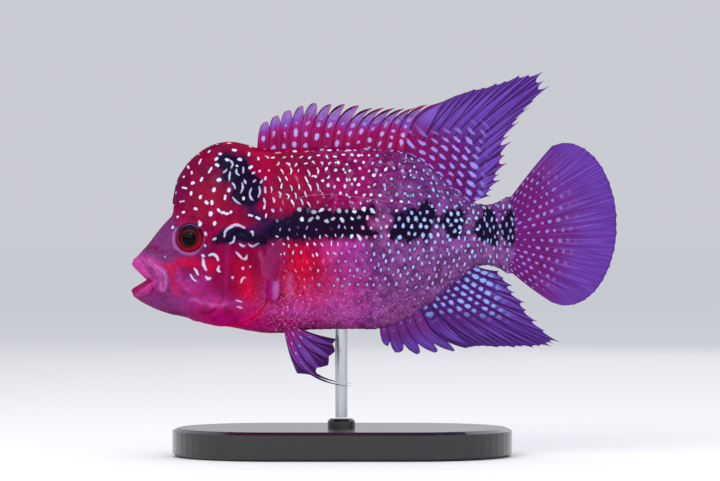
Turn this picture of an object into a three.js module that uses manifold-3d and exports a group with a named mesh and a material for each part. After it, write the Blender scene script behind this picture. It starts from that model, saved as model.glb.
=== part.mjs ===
// A flowerhorn cichlid, life size, as a still display model on a small stand.
// Millimetres, +Z up. The head points to -X and the left flank to -Y. The origin is on the
// floor, under the middle of the whole model.
import * as THREE from "three";
import { mergeVertices } from "three/addons/utils/BufferGeometryUtils.js";
import Module from "manifold-3d";

const wasm = await Module();
wasm.setup();

// Driving sizes
const gap = 0.3; // left between pieces that touch
const ringCount = 52; // rings along the body
const ringSides = 34; // corners of each ring
const flatness = 0.04; // the most a flat enough patch may be off its finer self
const rootDepth = 1.3; // how far a fin's root runs into the flesh before it is trimmed

// The body as a row of slanted rings from the back of the mouth to the root of the tail.
// top and bottom are [x, z] on the outline, half is the half width, mid is where down the ring
// it is widest, crown and keel shape the ring above and below that (under 1 is fuller), and bow
// sets the middle of the ring back from its ends, as the corner of the open mouth is.
const bodyRings = [
  { top: [-53.4, 44.9], bottom: [-53.4, 42.1], half: 1.5, mid: 0.5, crown: 1, keel: 1, bow: 0 },
  { top: [-56.3, 46.1], bottom: [-56.3, 41.7], half: 2.8, mid: 0.55, crown: 1, keel: 1, bow: 0.7 },
  { top: [-59.0, 46.6], bottom: [-59.2, 41.5], half: 3.8, mid: 0.6, crown: 1, keel: 1, bow: 3.2 },
  { top: [-59.9, 47.4], bottom: [-60.0, 40.8], half: 4.5, mid: 0.62, crown: 1, keel: 1, bow: 4.6 },
  { top: [-59.7, 48.7], bottom: [-59.8, 39.6], half: 5.2, mid: 0.6, crown: 1, keel: 1, bow: 5.2 },
  { top: [-58.8, 49.4], bottom: [-58.9, 38.8], half: 5.4, mid: 0.59, crown: 1, keel: 1, bow: 5.6 },
  { top: [-57.5, 50.8], bottom: [-57.0, 37.6], half: 5.9, mid: 0.58, crown: 1, keel: 0.95, bow: 4.8 },
  { top: [-55.5, 53.1], bottom: [-54.2, 36.2], half: 6.5, mid: 0.57, crown: 1, keel: 0.9, bow: 2.6 },
  { top: [-52.7, 56.8], bottom: [-50.3, 34.9], half: 7.2, mid: 0.58, crown: 0.95, keel: 0.88, bow: 0.8 },
  { top: [-50.4, 59.3], bottom: [-47.0, 34.2], half: 7.8, mid: 0.6, crown: 0.9, keel: 0.86, bow: 0 },
  { top: [-49.8, 61.6], bottom: [-44.7, 33.3], half: 8.2, mid: 0.62, crown: 0.88, keel: 0.85, bow: 0 },
  { top: [-49.8, 64.4], bottom: [-42.5, 32.8], half: 8.5, mid: 0.64, crown: 0.84, keel: 0.85, bow: 0 },
  { top: [-49.1, 67.7], bottom: [-40.4, 32.4], half: 8.8, mid: 0.65, crown: 0.8, keel: 0.85, bow: 0 },
  { top: [-47.5, 70.8], bottom: [-38.4, 32.1], half: 9.1, mid: 0.65, crown: 0.78, keel: 0.85, bow: 0 },
  { top: [-45.3, 73.5], bottom: [-36.4, 31.8], half: 9.4, mid: 0.65, crown: 0.76, keel: 0.85, bow: 0 },
  { top: [-42.3, 75.9], bottom: [-34.2, 31.5], half: 9.6, mid: 0.64, crown: 0.76, keel: 0.85, bow: 0 },
  { top: [-38.9, 77.4], bottom: [-31.9, 31.0], half: 9.8, mid: 0.63, crown: 0.78, keel: 0.85, bow: 0 },
  { top: [-35.3, 77.8], bottom: [-29.6, 30.6], half: 9.9, mid: 0.61, crown: 0.82, keel: 0.85, bow: 0 },
  { top: [-31.9, 77.2], bottom: [-27.5, 30.3], half: 10, mid: 0.58, crown: 0.9, keel: 0.85, bow: 0 },
  { top: [-28.8, 76.3], bottom: [-25.2, 30.2], half: 10, mid: 0.55, crown: 1, keel: 0.85, bow: 0 },
  { top: [-24.6, 76.1], bottom: [-22.0, 30.4], half: 10, mid: 0.53, crown: 1.08, keel: 0.87, bow: 0 },
  { top: [-18.2, 76.4], bottom: [-17.4, 31.0], half: 9.9, mid: 0.52, crown: 1.12, keel: 0.9, bow: 0 },
  { top: [-11.0, 76.6], bottom: [-11.0, 31.3], half: 9.6, mid: 0.51, crown: 1.15, keel: 0.93, bow: 0 },
  { top: [-3.8, 76.4], bottom: [-4.6, 31.4], half: 9.1, mid: 0.5, crown: 1.15, keel: 0.97, bow: 0 },
  { top: [2.6, 76.0], bottom: [0.8, 31.4], half: 8.5, mid: 0.5, crown: 1.15, keel: 1, bow: 0 },
  { top: [7.8, 75.2], bottom: [5.6, 32.8], half: 7.8, mid: 0.5, crown: 1.15, keel: 1.05, bow: 0 },
  { top: [12.6, 72.7], bottom: [10.6, 35.4], half: 7.0, mid: 0.5, crown: 1.12, keel: 1.08, bow: 0 },
  { top: [17.0, 68.9], bottom: [15.6, 38.9], half: 6.1, mid: 0.5, crown: 1.08, keel: 1.06, bow: 0 },
  { top: [20.7, 65.4], bottom: [20.2, 42.8], half: 5.2, mid: 0.5, crown: 1, keel: 1, bow: 0 },
  { top: [23.9, 62.9], bottom: [24.0, 46.0], half: 4.5, mid: 0.5, crown: 0.95, keel: 0.95, bow: 0 },
  { top: [27.3, 62.2], bottom: [27.4, 47.1], half: 3.9, mid: 0.5, crown: 0.95, keel: 0.95, bow: 0 },
  { top: [30.3, 62.8], bottom: [30.4, 46.5], half: 3.2, mid: 0.5, crown: 0.95, keel: 0.95, bow: 0 },
  { top: [32.8, 64.1], bottom: [32.9, 45.1], half: 2.4, mid: 0.5, crown: 0.95, keel: 0.95, bow: 0 },
  { top: [34.8, 63.9], bottom: [34.8, 45.3], half: 1.3, mid: 0.5, crown: 0.95, keel: 0.95, bow: 0 },
];
const lipRing = 5; // the first ring that lies wholly outside the mouth

// Eyes, nostrils and lips
const eye = { x: -45.5, z: 53.9, radius: 3.45, depth: 2.3, bulge: 1.3, rim: 0.6 };
const nostril = { x: -54.2, z: 51.1, radius: 0.6, rim: 0.28 };
const maxilla = { path: [[-57.6, 49.3], [-54.9, 48.2], [-52.9, 45.4], [-52.0, 41.9]], radius: 0.85 };

// Cuts between the named parts of the body, drawn in side view
const cuts = {
  jaw: [[-56.4, 43.8], [-54.6, 42.9], [-52.2, 40.3], [-48.6, 37.6], [-45.8, 31.5]],
  nape: [[-27.2, 79], [-26.9, 70], [-25.9, 62], [-25.2, 54], [-25.2, 44], [-26.2, 37], [-30.2, 28.5]],
  hump: [[-52.6, 60.4], [-48.6, 59.5], [-44.5, 60.6], [-38.0, 61.4], [-32.5, 64], [-29.2, 69], [-26.0, 74]],
  peduncle: [[24.6, 66], [23.7, 54.5], [24.6, 43]],
};

// The gill cover's outline in side view, how far it stands proud, and its inner face
const gillCover = {
  outline: [
    [-36.8, 48], [-35.6, 53], [-31.2, 54], [-27.2, 51.5], [-26.3, 46], [-26.3, 41],
    [-27.6, 36.8], [-31.2, 33.6], [-36.4, 33.4], [-37.3, 40.5],
  ],
  proud: 0.55,
  innerFace: 4.6,
};

// Fins. A ray runs from its root on the body to its tip, and bend draws its middle forward.
const dorsal = {
  spineTips: [
    [-27.5, 82.3], [-24.9, 83.9], [-21.9, 85.3], [-18.3, 86.5], [-15.1, 87.3], [-11, 87],
    [-7.6, 87], [-4.1, 86.7], [-0.6, 86], [2.4, 86.1], [5, 86], [7.5, 85.9], [10, 86],
    [13.2, 86.9], [16.1, 87.2],
  ],
  spineRoots: [-29, 7.6], // x of the first and last root
  rayTips: [
    [20.2, 89.2], [24.7, 90.8], [30.3, 92.3], [36, 94.3], [41.7, 95.1], [43.4, 91.6],
    [38.7, 86.5], [36, 82.8], [34, 77.9], [32.8, 72.4], [31.4, 68.3], [28.9, 64.3],
  ],
  rayRoots: [9.2, 23.4],
};
const anal = {
  spineTips: [[2.3, 27.7], [5.1, 25.6], [10.4, 25.1], [14.9, 25.5], [19.5, 25.8], [22.7, 26.6]],
  spineRoots: [1.2, 11.4],
  rayTips: [
    [26, 27.1], [30.4, 26.8], [34.8, 26.7], [39.3, 26.7], [43.8, 27], [45.9, 28.1],
    [40.3, 33.2], [37.3, 37.9], [34.4, 42], [30.9, 45.7],
  ],
  rayRoots: [12.9, 24.2],
};
const caudal = {
  rays: 18,
  centre: [47.45, 57.3], // of the ellipse that the tips lie on
  radii: [12.6, 20.2],
  sweep: 106, // degrees above and below the axis
  rootX: 33.2,
  rootTop: 63.2,
  rootBottom: 46.0,
};
const pelvic = {
  root: [-22.4, 31.6], // x, z of the first ray's root
  side: 2.4, // its distance from the middle
  rootStep: [0.62, -0.06], // from one root to the next, along x and outwards
  splay: 22, // degrees outwards from straight down
  tips: [[-19.0, 20.6], [-5.8, 17.4], [-14.2, 19.8], [-11.4, 22.6], [-9.8, 26.0], [-9.6, 29.0]],
};
const pectoral = {
  root: [-23.2, 41.2], // x, z of the middle of its root
  rootLength: 6.2,
  rays: 10,
  length: [12.5, 14.5, 8.5], // of the uppermost, longest and lowest ray
  upper: [0.14, 0.62, 0.78], // directions of the uppermost and lowest ray: x, outwards, z
  lower: [-0.42, 0.86, 0.2],
  base: [1.0, 1.7, 3.7], // half sizes of the fleshy base
};

// Display stand
const stand = {
  length: 84, width: 50, height: 7, corner: 25, edge: 1.4, middleX: -8,
  rodX: -8.2, rodRadius: 1.5, collarRadius: 3.4, collarHeight: 2.2, rodTop: 33,
};

// Surface finishes, by colour, roughness and metalness
const finish = (color, roughness, metalness = 0) =>
  new THREE.MeshStandardMaterial({ color, roughness, metalness });
const redSkin = finish("#b8123f", 0.35);
const pinkSkin = finish("#a2458a", 0.38);
const flankSkin = finish("#8c3a78", 0.35);
const finSkin = finish("#5e3a86", 0.42);
const clearFin = finish("#c25a9a", 0.4);
const eyeBall = finish("#5a0612", 0.08);
const blackAcrylic = finish("#17171b", 0.25);
const steel = finish("#b9bcc2", 0.3, 1);

// Small helpers

const lerp = (a, b, t) => a + (b - a) * t;

// A smooth curve through numbers a, b, c, d, between b and c
function smooth(a, b, c, d, t) {
  return 0.5 * (2 * b + (c - a) * t + (2 * a - 5 * b + 4 * c - d) * t * t + (3 * b - a - 3 * c + d) * t ** 3);
}

// One closed solid from an array of corners and an array of triangles
function solid(points, triangles) {
  const vertProperties = new Float32Array(points.flat());
  const make = (tris) => new wasm.Manifold(new wasm.Mesh({ numProp: 3, vertProperties, triVerts: new Uint32Array(tris.flat()) }));
  const made = make(triangles);
  return made.volume() > 0 ? made : make(triangles.map(([a, b, c]) => [a, c, b]));
}

// One closed solid from a three.js geometry
function fromGeometry(geometry, matrix) {
  const bare = new THREE.BufferGeometry();
  const source = geometry.index ? geometry.toNonIndexed() : geometry;
  bare.setAttribute("position", source.getAttribute("position").clone());
  if (matrix) bare.applyMatrix4(matrix);
  const merged = mergeVertices(bare, 1e-4);
  return new wasm.Manifold(
    new wasm.Mesh({
      numProp: 3,
      vertProperties: merged.attributes.position.array,
      triVerts: new Uint32Array(merged.index.array),
    }),
  );
}

// A soft round fold along a row of points, thinner towards its ends
function fold(spots, radius, steps = 8, corners = 7) {
  const curve = new THREE.CatmullRomCurve3(spots);
  const points = [curve.getPoint(0).toArray()];
  const triangles = [];
  for (let i = 0; i <= steps; i++) {
    const share = i / steps;
    const along = curve.getTangent(share);
    const across = new THREE.Vector3(0, 1, 0).cross(along).normalize();
    const up = along.clone().cross(across);
    const size = radius * Math.sqrt(Math.max(0.12, 1 - (2 * share - 1) ** 4));
    for (let j = 0; j < corners; j++) {
      const angle = (2 * Math.PI * j) / corners;
      const p = curve.getPoint(share);
      p.addScaledVector(across, size * Math.cos(angle)).addScaledVector(up, size * Math.sin(angle));
      points.push(p.toArray());
    }
  }
  const end = points.push(curve.getPoint(1).toArray()) - 1;
  for (let j = 0; j < corners; j++) {
    const next = (j + 1) % corners;
    triangles.push([0, 1 + next, 1 + j]);
    for (let i = 0; i < steps; i++) {
      const a = 1 + i * corners + j;
      const b = 1 + i * corners + next;
      triangles.push([a, b, b + corners], [a, b + corners, a + corners]);
    }
    triangles.push([end, end - corners + j, end - corners + next]);
  }
  return solid(points, triangles);
}

// The largest closed piece of a solid
function largest(made) {
  return made.decompose().sort((a, b) => b.volume() - a.volume())[0];
}

// Body

const ringKeys = ["half", "mid", "crown", "keel", "bow"];

// The ring at a place s along the body, where 0 is the first ring and 1 more each ring
function ringAt(s) {
  const last = bodyRings.length - 1;
  const i = Math.min(Math.floor(s), last - 1);
  const t = s - i;
  const four = [i - 1, i, i + 1, i + 2].map((k) => bodyRings[Math.max(0, Math.min(last, k))]);
  const at = (get) => smooth(...four.map(get), t);
  const ring = Object.fromEntries(ringKeys.map((key) => [key, at((r) => r[key])]));
  ring.top = [at((r) => r.top[0]), at((r) => r.top[1])];
  ring.bottom = [at((r) => r.bottom[0]), at((r) => r.bottom[1])];
  return ring;
}

// A point of the body's surface. angle is 0 at the back and PI at the belly, by way of the left
// flank, and grow moves the surface outwards.
function bodyPoint(s, angle, grow = 0) {
  const ring = ringAt(s);
  const c = Math.cos(angle);
  const side = Math.sin(angle);
  const down = c >= 0 ? ring.mid * (1 - c) : ring.mid - (1 - ring.mid) * c;
  const chord = [ring.bottom[0] - ring.top[0], ring.bottom[1] - ring.top[1]];
  const long = Math.hypot(...chord);
  const share = down + ((2 * down - 1) * grow) / long;
  const width = (ring.half + grow) * Math.abs(side) ** (c >= 0 ? ring.crown : ring.keel);
  return [
    ring.top[0] + chord[0] * share + ring.bow * (1 - Math.abs(c)),
    -Math.sign(side) * width,
    ring.top[1] + chord[1] * share,
  ];
}

// The body from ring `first` to the tail root, moved outwards by grow
function bodySolid(first, grow = 0, rings = ringCount, sides = ringSides) {
  const last = bodyRings.length - 1;
  const points = [];
  const triangles = [];
  for (let i = 0; i < rings; i++) {
    const s = lerp(first, last, i / (rings - 1));
    for (let j = 0; j < sides; j++) points.push(bodyPoint(s, (2 * Math.PI * j) / sides, grow));
  }
  for (let i = 0; i < rings - 1; i++)
    for (let j = 0; j < sides; j++) {
      const a = i * sides + j;
      const b = i * sides + ((j + 1) % sides);
      triangles.push([a, b, b + sides], [a, b + sides, a + sides]);
    }
  for (const [ring, push] of [[0, -1], [rings - 1, 1]]) {
    const start = ring * sides;
    const centre = points.length;
    const middle = [0, 1, 2].map((k) => points.slice(start, start + sides).reduce((sum, p) => sum + p[k], 0) / sides);
    points.push([middle[0] + (first === 0 && ring === 0 ? 0 : push * grow), middle[1], middle[2]]);
    for (let j = 0; j < sides; j++) {
      const a = start + j;
      const b = start + ((j + 1) % sides);
      triangles.push(push < 0 ? [centre, b, a] : [centre, a, b]);
    }
  }
  return solid(points, triangles);
}

// The place s and the point where the back or the belly has a given x, behind the hump
function outlineAt(x, edge) {
  let low = 14;
  let high = bodyRings.length - 1;
  for (let k = 0; k < 40; k++) {
    const s = (low + high) / 2;
    if (ringAt(s)[edge][0] < x) low = s;
    else high = s;
  }
  return ringAt(low)[edge];
}

// The outermost point of the flank at x, z, and the outward direction there, for side -1 or 1
function flankAt(x, z, side) {
  let best = { gap: Infinity };
  for (let i = 0; i <= 260; i++) {
    const s = lerp(4, bodyRings.length - 1, i / 260);
    for (let j = 3; j < 90; j++) {
      const angle = (Math.PI * j) / 92;
      const p = bodyPoint(s, angle);
      const away = Math.hypot(p[0] - x, p[2] - z);
      if (away < best.gap) best = { gap: away, s, angle, p };
    }
  }
  const along = new THREE.Vector3(...bodyPoint(best.s + 0.1, best.angle)).sub(new THREE.Vector3(...bodyPoint(best.s - 0.1, best.angle)));
  const down = new THREE.Vector3(...bodyPoint(best.s, best.angle + 0.05)).sub(new THREE.Vector3(...bodyPoint(best.s, best.angle - 0.05)));
  const normal = along.cross(down).normalize();
  if (normal.y > 0) normal.negate();
  return {
    point: new THREE.Vector3(best.p[0], -side * best.p[1], best.p[2]),
    normal: new THREE.Vector3(normal.x, -side * normal.y, normal.z),
  };
}

// A thin wall through the whole body along a line drawn in side view
function wall(line) {
  const curve = new THREE.SplineCurve(line.map(([x, z]) => new THREE.Vector2(x, z)));
  const middle = curve.getPoints(line.length * 4);
  const offset = (sign) =>
    middle.map((p, i) => {
      const before = middle[Math.max(0, i - 1)];
      const after = middle[Math.min(middle.length - 1, i + 1)];
      const along = after.clone().sub(before).normalize();
      return new THREE.Vector2(p.x - (sign * along.y * gap) / 2, p.y + (sign * along.x * gap) / 2);
    });
  const shape = new THREE.Shape([...offset(1), ...offset(-1).reverse()]);
  return extruded(shape, -20, 20);
}

// A side view shape carried across the body from y low to y high
function extruded(shape, low, high, curveSegments = 6) {
  const geometry = new THREE.ExtrudeGeometry(shape, { depth: high - low, bevelEnabled: false, steps: 1, curveSegments });
  const matrix = new THREE.Matrix4().makeRotationX(Math.PI / 2);
  matrix.premultiply(new THREE.Matrix4().makeTranslation(0, high, 0));
  return fromGeometry(geometry, matrix);
}

// Fins

// A fin as one sheet over a row of rays. Each ray has root, control and tip as vectors.
// columns are the places between two rays where the sheet has corners, ridge says how much of
// the ray's thickness each keeps, and reach how far up it goes.
function finSheet({ rays, columns, ridge, reach, rows, membrane, rayHalf, tipHalf, normal, sway }) {
  const strips = [];
  rays.forEach((ray, i) => {
    const next = rays[i + 1];
    columns.forEach((f, k) => {
      if (!next && k) return;
      const mixed = (key) => (next ? ray[key].clone().lerp(next[key], f) : ray[key].clone());
      strips.push({
        curve: new THREE.QuadraticBezierCurve3(mixed("root"), mixed("control"), mixed("tip")),
        half: membrane + (rayHalf - membrane) * ridge[k],
        reach: reach(i, f, k),
        place: i + f,
      });
    });
  });
  const points = [];
  for (const face of [1, -1])
    for (const strip of strips)
      for (let r = 0; r <= rows; r++) {
        const v = (r / rows) * strip.reach;
        const p = strip.curve.getPoint(v);
        const half = lerp(strip.half, tipHalf, (r / rows) ** 1.5);
        const out = normal.clone().multiplyScalar(sway(strip.place, v) + face * half);
        points.push([p.x + out.x, p.y + out.y, p.z + out.z]);
      }
  const stride = rows + 1;
  const other = strips.length * stride;
  const triangles = [];
  const quad = (a, b, c, d) => triangles.push([a, b, c], [a, c, d]);
  for (let c = 0; c < strips.length - 1; c++)
    for (let r = 0; r < rows; r++) {
      const a = c * stride + r;
      const b = a + stride;
      triangles.push([a, b, b + 1], [a, b + 1, a + 1]);
      triangles.push([a + other, b + 1 + other, b + other], [a + other, a + 1 + other, b + 1 + other]);
    }
  for (let c = 0; c < strips.length - 1; c++)
    for (const [r, flip] of [[0, true], [rows, false]]) {
      const a = c * stride + r;
      const b = a + stride;
      if (flip) quad(a, a + other, b + other, b);
      else quad(a, b, b + other, a + other);
    }
  for (const [c, flip] of [[0, false], [strips.length - 1, true]])
    for (let r = 0; r < rows; r++) {
      const a = c * stride + r;
      if (flip) quad(a, a + other, a + 1 + other, a + 1);
      else quad(a, a + 1, a + 1 + other, a + other);
    }
  return solid(points, triangles);
}

// The rays of a fin on the back or belly, from the x of the first and last root and the tips
function medianRays(edge, [from, to], tips, bend) {
  const inward = edge === "top" ? -1 : 1;
  return tips.map(([tipX, tipZ], i) => {
    const x = lerp(from, to, i / (tips.length - 1));
    const [rootX, rootZ] = outlineAt(x, edge);
    const root = new THREE.Vector3(rootX, 0, rootZ + inward * rootDepth);
    const tip = new THREE.Vector3(tipX, 0, tipZ);
    const control = new THREE.Vector3(lerp(rootX, tipX, bend[0]), 0, lerp(rootZ, tipZ, bend[1]));
    return { root, control, tip };
  });
}

// The rays of a soft fin begin just behind the last spine of the spiny one
function joined(spines, rays) {
  const shift = new THREE.Vector3(gap + 0.05, 0, 0);
  const last = spines[spines.length - 1];
  const first = Object.fromEntries(Object.entries(last).map(([key, p]) => [key, p.clone().add(shift)]));
  return [first, ...rays];
}

const sideways = new THREE.Vector3(0, 1, 0);
const spineSheet = {
  columns: [0, 0.2, 0.6, 0.94],
  ridge: [1, 0.1, 0, 0],
  rows: 5,
  membrane: 0.27,
  rayHalf: 0.6,
  tipHalf: 0.2,
};
const raySheet = {
  columns: [0, 0.22, 0.78],
  ridge: [1, 0, 0],
  rows: 6,
  membrane: 0.27,
  rayHalf: 0.52,
  tipHalf: 0.2,
};

// Each spine carries a round-topped lobe of membrane behind it, and a cleft in front of the next
function lobes(cleftFirst, cleftLast, count) {
  return (i, f) => {
    const cleft = lerp(cleftFirst, cleftLast, i / (count - 1));
    return i === count - 1 ? 1 : 1 - (1 - cleft) * f ** 2.6;
  };
}

function trimmed(made, cutter) {
  return largest(made.subtract(cutter));
}

// Build the body and part it

const outer = bodySolid(lipRing, gap); // keeps fins and rod clear of the flesh
let flesh = bodySolid(0);

for (const side of [-1, 1]) {
  const { point, normal } = flankAt(eye.x, eye.z, side);
  const turn = new THREE.Quaternion().setFromUnitVectors(new THREE.Vector3(0, 0, 1), normal);
  const ring = new THREE.TorusGeometry(eye.radius + eye.rim * 0.7, eye.rim, 5, 20);
  flesh = flesh.add(fromGeometry(ring, new THREE.Matrix4().compose(point, turn, new THREE.Vector3(1, 1, 1))));

  const nose = flankAt(nostril.x, nostril.z, side);
  const noseTurn = new THREE.Quaternion().setFromUnitVectors(new THREE.Vector3(0, 0, 1), nose.normal);
  const noseRim = new THREE.TorusGeometry(nostril.radius, nostril.rim, 4, 10);
  flesh = flesh.add(fromGeometry(noseRim, new THREE.Matrix4().compose(nose.point, noseTurn, new THREE.Vector3(1, 1, 1))));
  const pit = new THREE.SphereGeometry(nostril.radius * 0.75, 8, 5);
  flesh = flesh.subtract(fromGeometry(pit, new THREE.Matrix4().makeTranslation(...nose.point)));

  const spots = maxilla.path.map(([x, z]) => flankAt(x, z, side).point);
  flesh = flesh.add(fold(spots, maxilla.radius));
}

// The eye is a flattened ball, and its socket is the same ball grown by the gap
function eyeBallSolid(side, grow) {
  const { point, normal } = flankAt(eye.x, eye.z, side);
  const ball = new THREE.SphereGeometry(1, 20, 12);
  const turn = new THREE.Quaternion().setFromUnitVectors(new THREE.Vector3(0, 1, 0), normal);
  const centre = point.addScaledVector(normal, eye.bulge - eye.depth);
  const size = new THREE.Vector3(eye.radius + grow, eye.depth + grow, eye.radius + grow);
  return fromGeometry(ball, new THREE.Matrix4().compose(centre, turn, size));
}

const eyes = { left: eyeBallSolid(-1, 0), right: eyeBallSolid(1, 0) };
flesh = flesh.subtract(eyeBallSolid(-1, gap)).subtract(eyeBallSolid(1, gap));

// The gill covers are cut from a slightly larger body, so that they stand proud
function gillShape(grow) {
  const middle = gillCover.outline.reduce((sum, [x, z]) => [sum[0] + x, sum[1] + z], [0, 0]).map((v) => v / gillCover.outline.length);
  const moved = gillCover.outline.map(([x, z]) => {
    const away = Math.hypot(x - middle[0], z - middle[1]);
    return new THREE.Vector2(x + ((x - middle[0]) / away) * grow, z + ((z - middle[1]) / away) * grow);
  });
  const curve = new THREE.SplineCurve([...moved, moved[0]]);
  return new THREE.Shape(curve.getPoints(moved.length * 3).slice(0, -1));
}

function gillPlate(side, grow) {
  const face = gillCover.innerFace - grow;
  return side < 0 ? extruded(gillShape(grow), -20, -face) : extruded(gillShape(grow), face, 20);
}

const proudBody = bodySolid(lipRing, gillCover.proud);
const gillCovers = {
  left: largest(proudBody.intersect(gillPlate(-1, 0))),
  right: largest(proudBody.intersect(gillPlate(1, 0))),
};
flesh = flesh.subtract(gillPlate(-1, gap)).subtract(gillPlate(1, gap));

for (const line of Object.values(cuts)) flesh = flesh.subtract(wall(line));
const pieces = flesh.decompose().sort((a, b) => b.volume() - a.volume());
const middleOf = (piece) => {
  const { min, max } = piece.boundingBox();
  return min.map((v, k) => (v + max[k]) / 2);
};
const nearest = (x, z) => pieces.slice(0, 5).sort((a, b) => {
  const [p, q] = [middleOf(a), middleOf(b)];
  return Math.hypot(p[0] - x, p[2] - z) - Math.hypot(q[0] - x, q[2] - z);
})[0];

// Fins on the middle line

const dorsalSpineRays = medianRays("top", dorsal.spineRoots, dorsal.spineTips, [0.08, 0.93]);
const analSpineRays = medianRays("bottom", anal.spineRoots, anal.spineTips, [0.12, 0.75]);
const dorsalSpines = finSheet({
  ...spineSheet,
  rays: dorsalSpineRays,
  reach: lobes(0.42, 0.86, dorsal.spineTips.length),
  normal: sideways,
  sway: (u, v) => 0.35 * v * v * Math.sin(u * 0.55),
});
const dorsalRays = finSheet({
  ...raySheet,
  rows: 7,
  rays: joined(dorsalSpineRays, medianRays("top", dorsal.rayRoots, dorsal.rayTips, [0.42, 0.52])),
  reach: (i, f, k) => (k ? 0.965 : 1),
  normal: sideways,
  sway: (u, v) => 0.8 * v * v * Math.sin(u * 0.5) + 0.35 * v * v * Math.sin(7.7),
});
const analSpines = finSheet({
  ...spineSheet,
  rays: analSpineRays,
  reach: lobes(0.5, 0.8, anal.spineTips.length),
  normal: sideways,
  sway: (u, v) => 0.3 * v * v * Math.sin(u * 0.6),
});
const analRays = finSheet({
  ...raySheet,
  rows: 6,
  rays: joined(analSpineRays, medianRays("bottom", anal.rayRoots, anal.rayTips, [0.42, 0.56])),
  reach: (i, f, k) => (k ? 0.965 : 1),
  normal: sideways,
  sway: (u, v) => -0.7 * v * v * Math.sin(u * 0.5) + 0.3 * v * v * Math.sin(3),
});

// The tail's rays fan out from the tail root to an ellipse
function caudalRays() {
  return Array.from({ length: caudal.rays }, (_, i) => {
    const share = i / (caudal.rays - 1);
    const angle = THREE.MathUtils.degToRad(lerp(caudal.sweep, -caudal.sweep, share));
    const root = new THREE.Vector3(caudal.rootX, 0, lerp(caudal.rootTop, caudal.rootBottom, share));
    const tip = new THREE.Vector3(
      caudal.centre[0] + caudal.radii[0] * Math.cos(angle),
      0,
      caudal.centre[1] + caudal.radii[1] * Math.sin(angle),
    );
    const control = root.clone().lerp(tip, 0.5);
    control.z += (share - 0.5) * -1.6;
    return { root, control, tip };
  });
}
const caudalSheet = finSheet({
  ...raySheet,
  rows: 6,
  rays: caudalRays(),
  reach: (i, f, k) => (k ? 0.985 : 1),
  normal: sideways,
  sway: (u, v) => 0.7 * v * v * Math.sin(u * 0.42),
});

// Paired fins

function pelvicFin(side) {
  const tilt = THREE.MathUtils.degToRad(pelvic.splay);
  const [rootX, rootZ] = pelvic.root;
  const place = (x, drop, out) =>
    new THREE.Vector3(x, side * (out + drop * Math.sin(tilt)), rootZ - drop * Math.cos(tilt));
  const rays = pelvic.tips.map(([tipX, tipZ], i) => {
    const root = place(rootX + pelvic.rootStep[0] * i, 0, pelvic.side + pelvic.rootStep[1] * i);
    const drop = (rootZ - tipZ) / Math.cos(tilt);
    const tip = place(tipX, drop, pelvic.side);
    const control = place(lerp(root.x, tipX, i === 1 ? 0.1 : 0.34), drop * (i === 1 ? 0.95 : 0.62), pelvic.side);
    return { root, control, tip };
  });
  return finSheet({
    ...raySheet,
    rays,
    rows: 8,
    reach: (i, f, k) => (k ? [0.8, 0.6, 0.92, 0.93, 0.93, 0.93][i] : 1),
    normal: new THREE.Vector3(0, side * Math.cos(tilt), Math.sin(tilt)).normalize(),
    sway: (u, v) => 0.5 * v * v * Math.sin(u * 0.9),
  });
}

function pectoralFin(side) {
  const { point } = flankAt(...pectoral.root, side);
  const upper = new THREE.Vector3(pectoral.upper[0], side * pectoral.upper[1], pectoral.upper[2]).normalize();
  const lower = new THREE.Vector3(pectoral.lower[0], side * pectoral.lower[1], pectoral.lower[2]).normalize();
  const rays = Array.from({ length: pectoral.rays }, (_, i) => {
    const share = i / (pectoral.rays - 1);
    const [first, longest, final] = pectoral.length;
    const peak = 0.35;
    const length = share < peak
      ? lerp(first, longest, Math.sin(((share / peak) * Math.PI) / 2))
      : lerp(longest, final, ((share - peak) / (1 - peak)) ** 1.6);
    const along = upper.clone().lerp(lower, share).normalize();
    const root = point.clone();
    root.z += (0.5 - share) * pectoral.rootLength * 0.8;
    root.y -= side * 0.9;
    const tip = root.clone().addScaledVector(along, length + 0.9);
    const control = root.clone().lerp(tip, 0.5);
    control.y += side * 0.5;
    return { root, control, tip };
  });
  const sheet = finSheet({
    ...raySheet,
    rays,
    rows: 4,
    reach: (i, f, k) => (k ? 0.97 : 1),
    normal: upper.clone().cross(lower).normalize(),
    sway: (u, v) => 0.45 * v * v * Math.sin(u * 0.6),
  });
  const [thick, wide, tall] = pectoral.base;
  const base = fromGeometry(
    new THREE.SphereGeometry(1, 12, 8),
    new THREE.Matrix4().compose(point, new THREE.Quaternion(), new THREE.Vector3(wide, thick, tall)),
  );
  return sheet.add(base);
}

// Stand

function standBase() {
  const half = stand.width / 2;
  const long = stand.length / 2 - half;
  const outline = new THREE.Shape();
  outline.absarc(long, 0, half - stand.edge, -Math.PI / 2, Math.PI / 2, false);
  outline.absarc(-long, 0, half - stand.edge, Math.PI / 2, (3 * Math.PI) / 2, false);
  outline.closePath();
  const geometry = new THREE.ExtrudeGeometry(outline, {
    depth: stand.height - stand.edge,
    bevelEnabled: true,
    bevelThickness: stand.edge / 2,
    bevelSize: stand.edge,
    bevelSegments: 1,
    curveSegments: 14,
  });
  const plate = fromGeometry(geometry, new THREE.Matrix4().makeTranslation(stand.middleX, 0, stand.edge / 2));
  const profile = [
    [0, stand.height - 1], [stand.collarRadius, stand.height - 1], [stand.collarRadius, stand.height + stand.collarHeight - 0.6],
    [stand.collarRadius - 0.6, stand.height + stand.collarHeight], [0, stand.height + stand.collarHeight],
  ].map(([r, z]) => new THREE.Vector2(r, z));
  const turned = new THREE.LatheGeometry(profile, 20);
  const matrix = new THREE.Matrix4().makeRotationX(Math.PI / 2);
  matrix.premultiply(new THREE.Matrix4().makeTranslation(stand.rodX, 0, 0));
  return plate.add(fromGeometry(turned, matrix));
}

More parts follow.
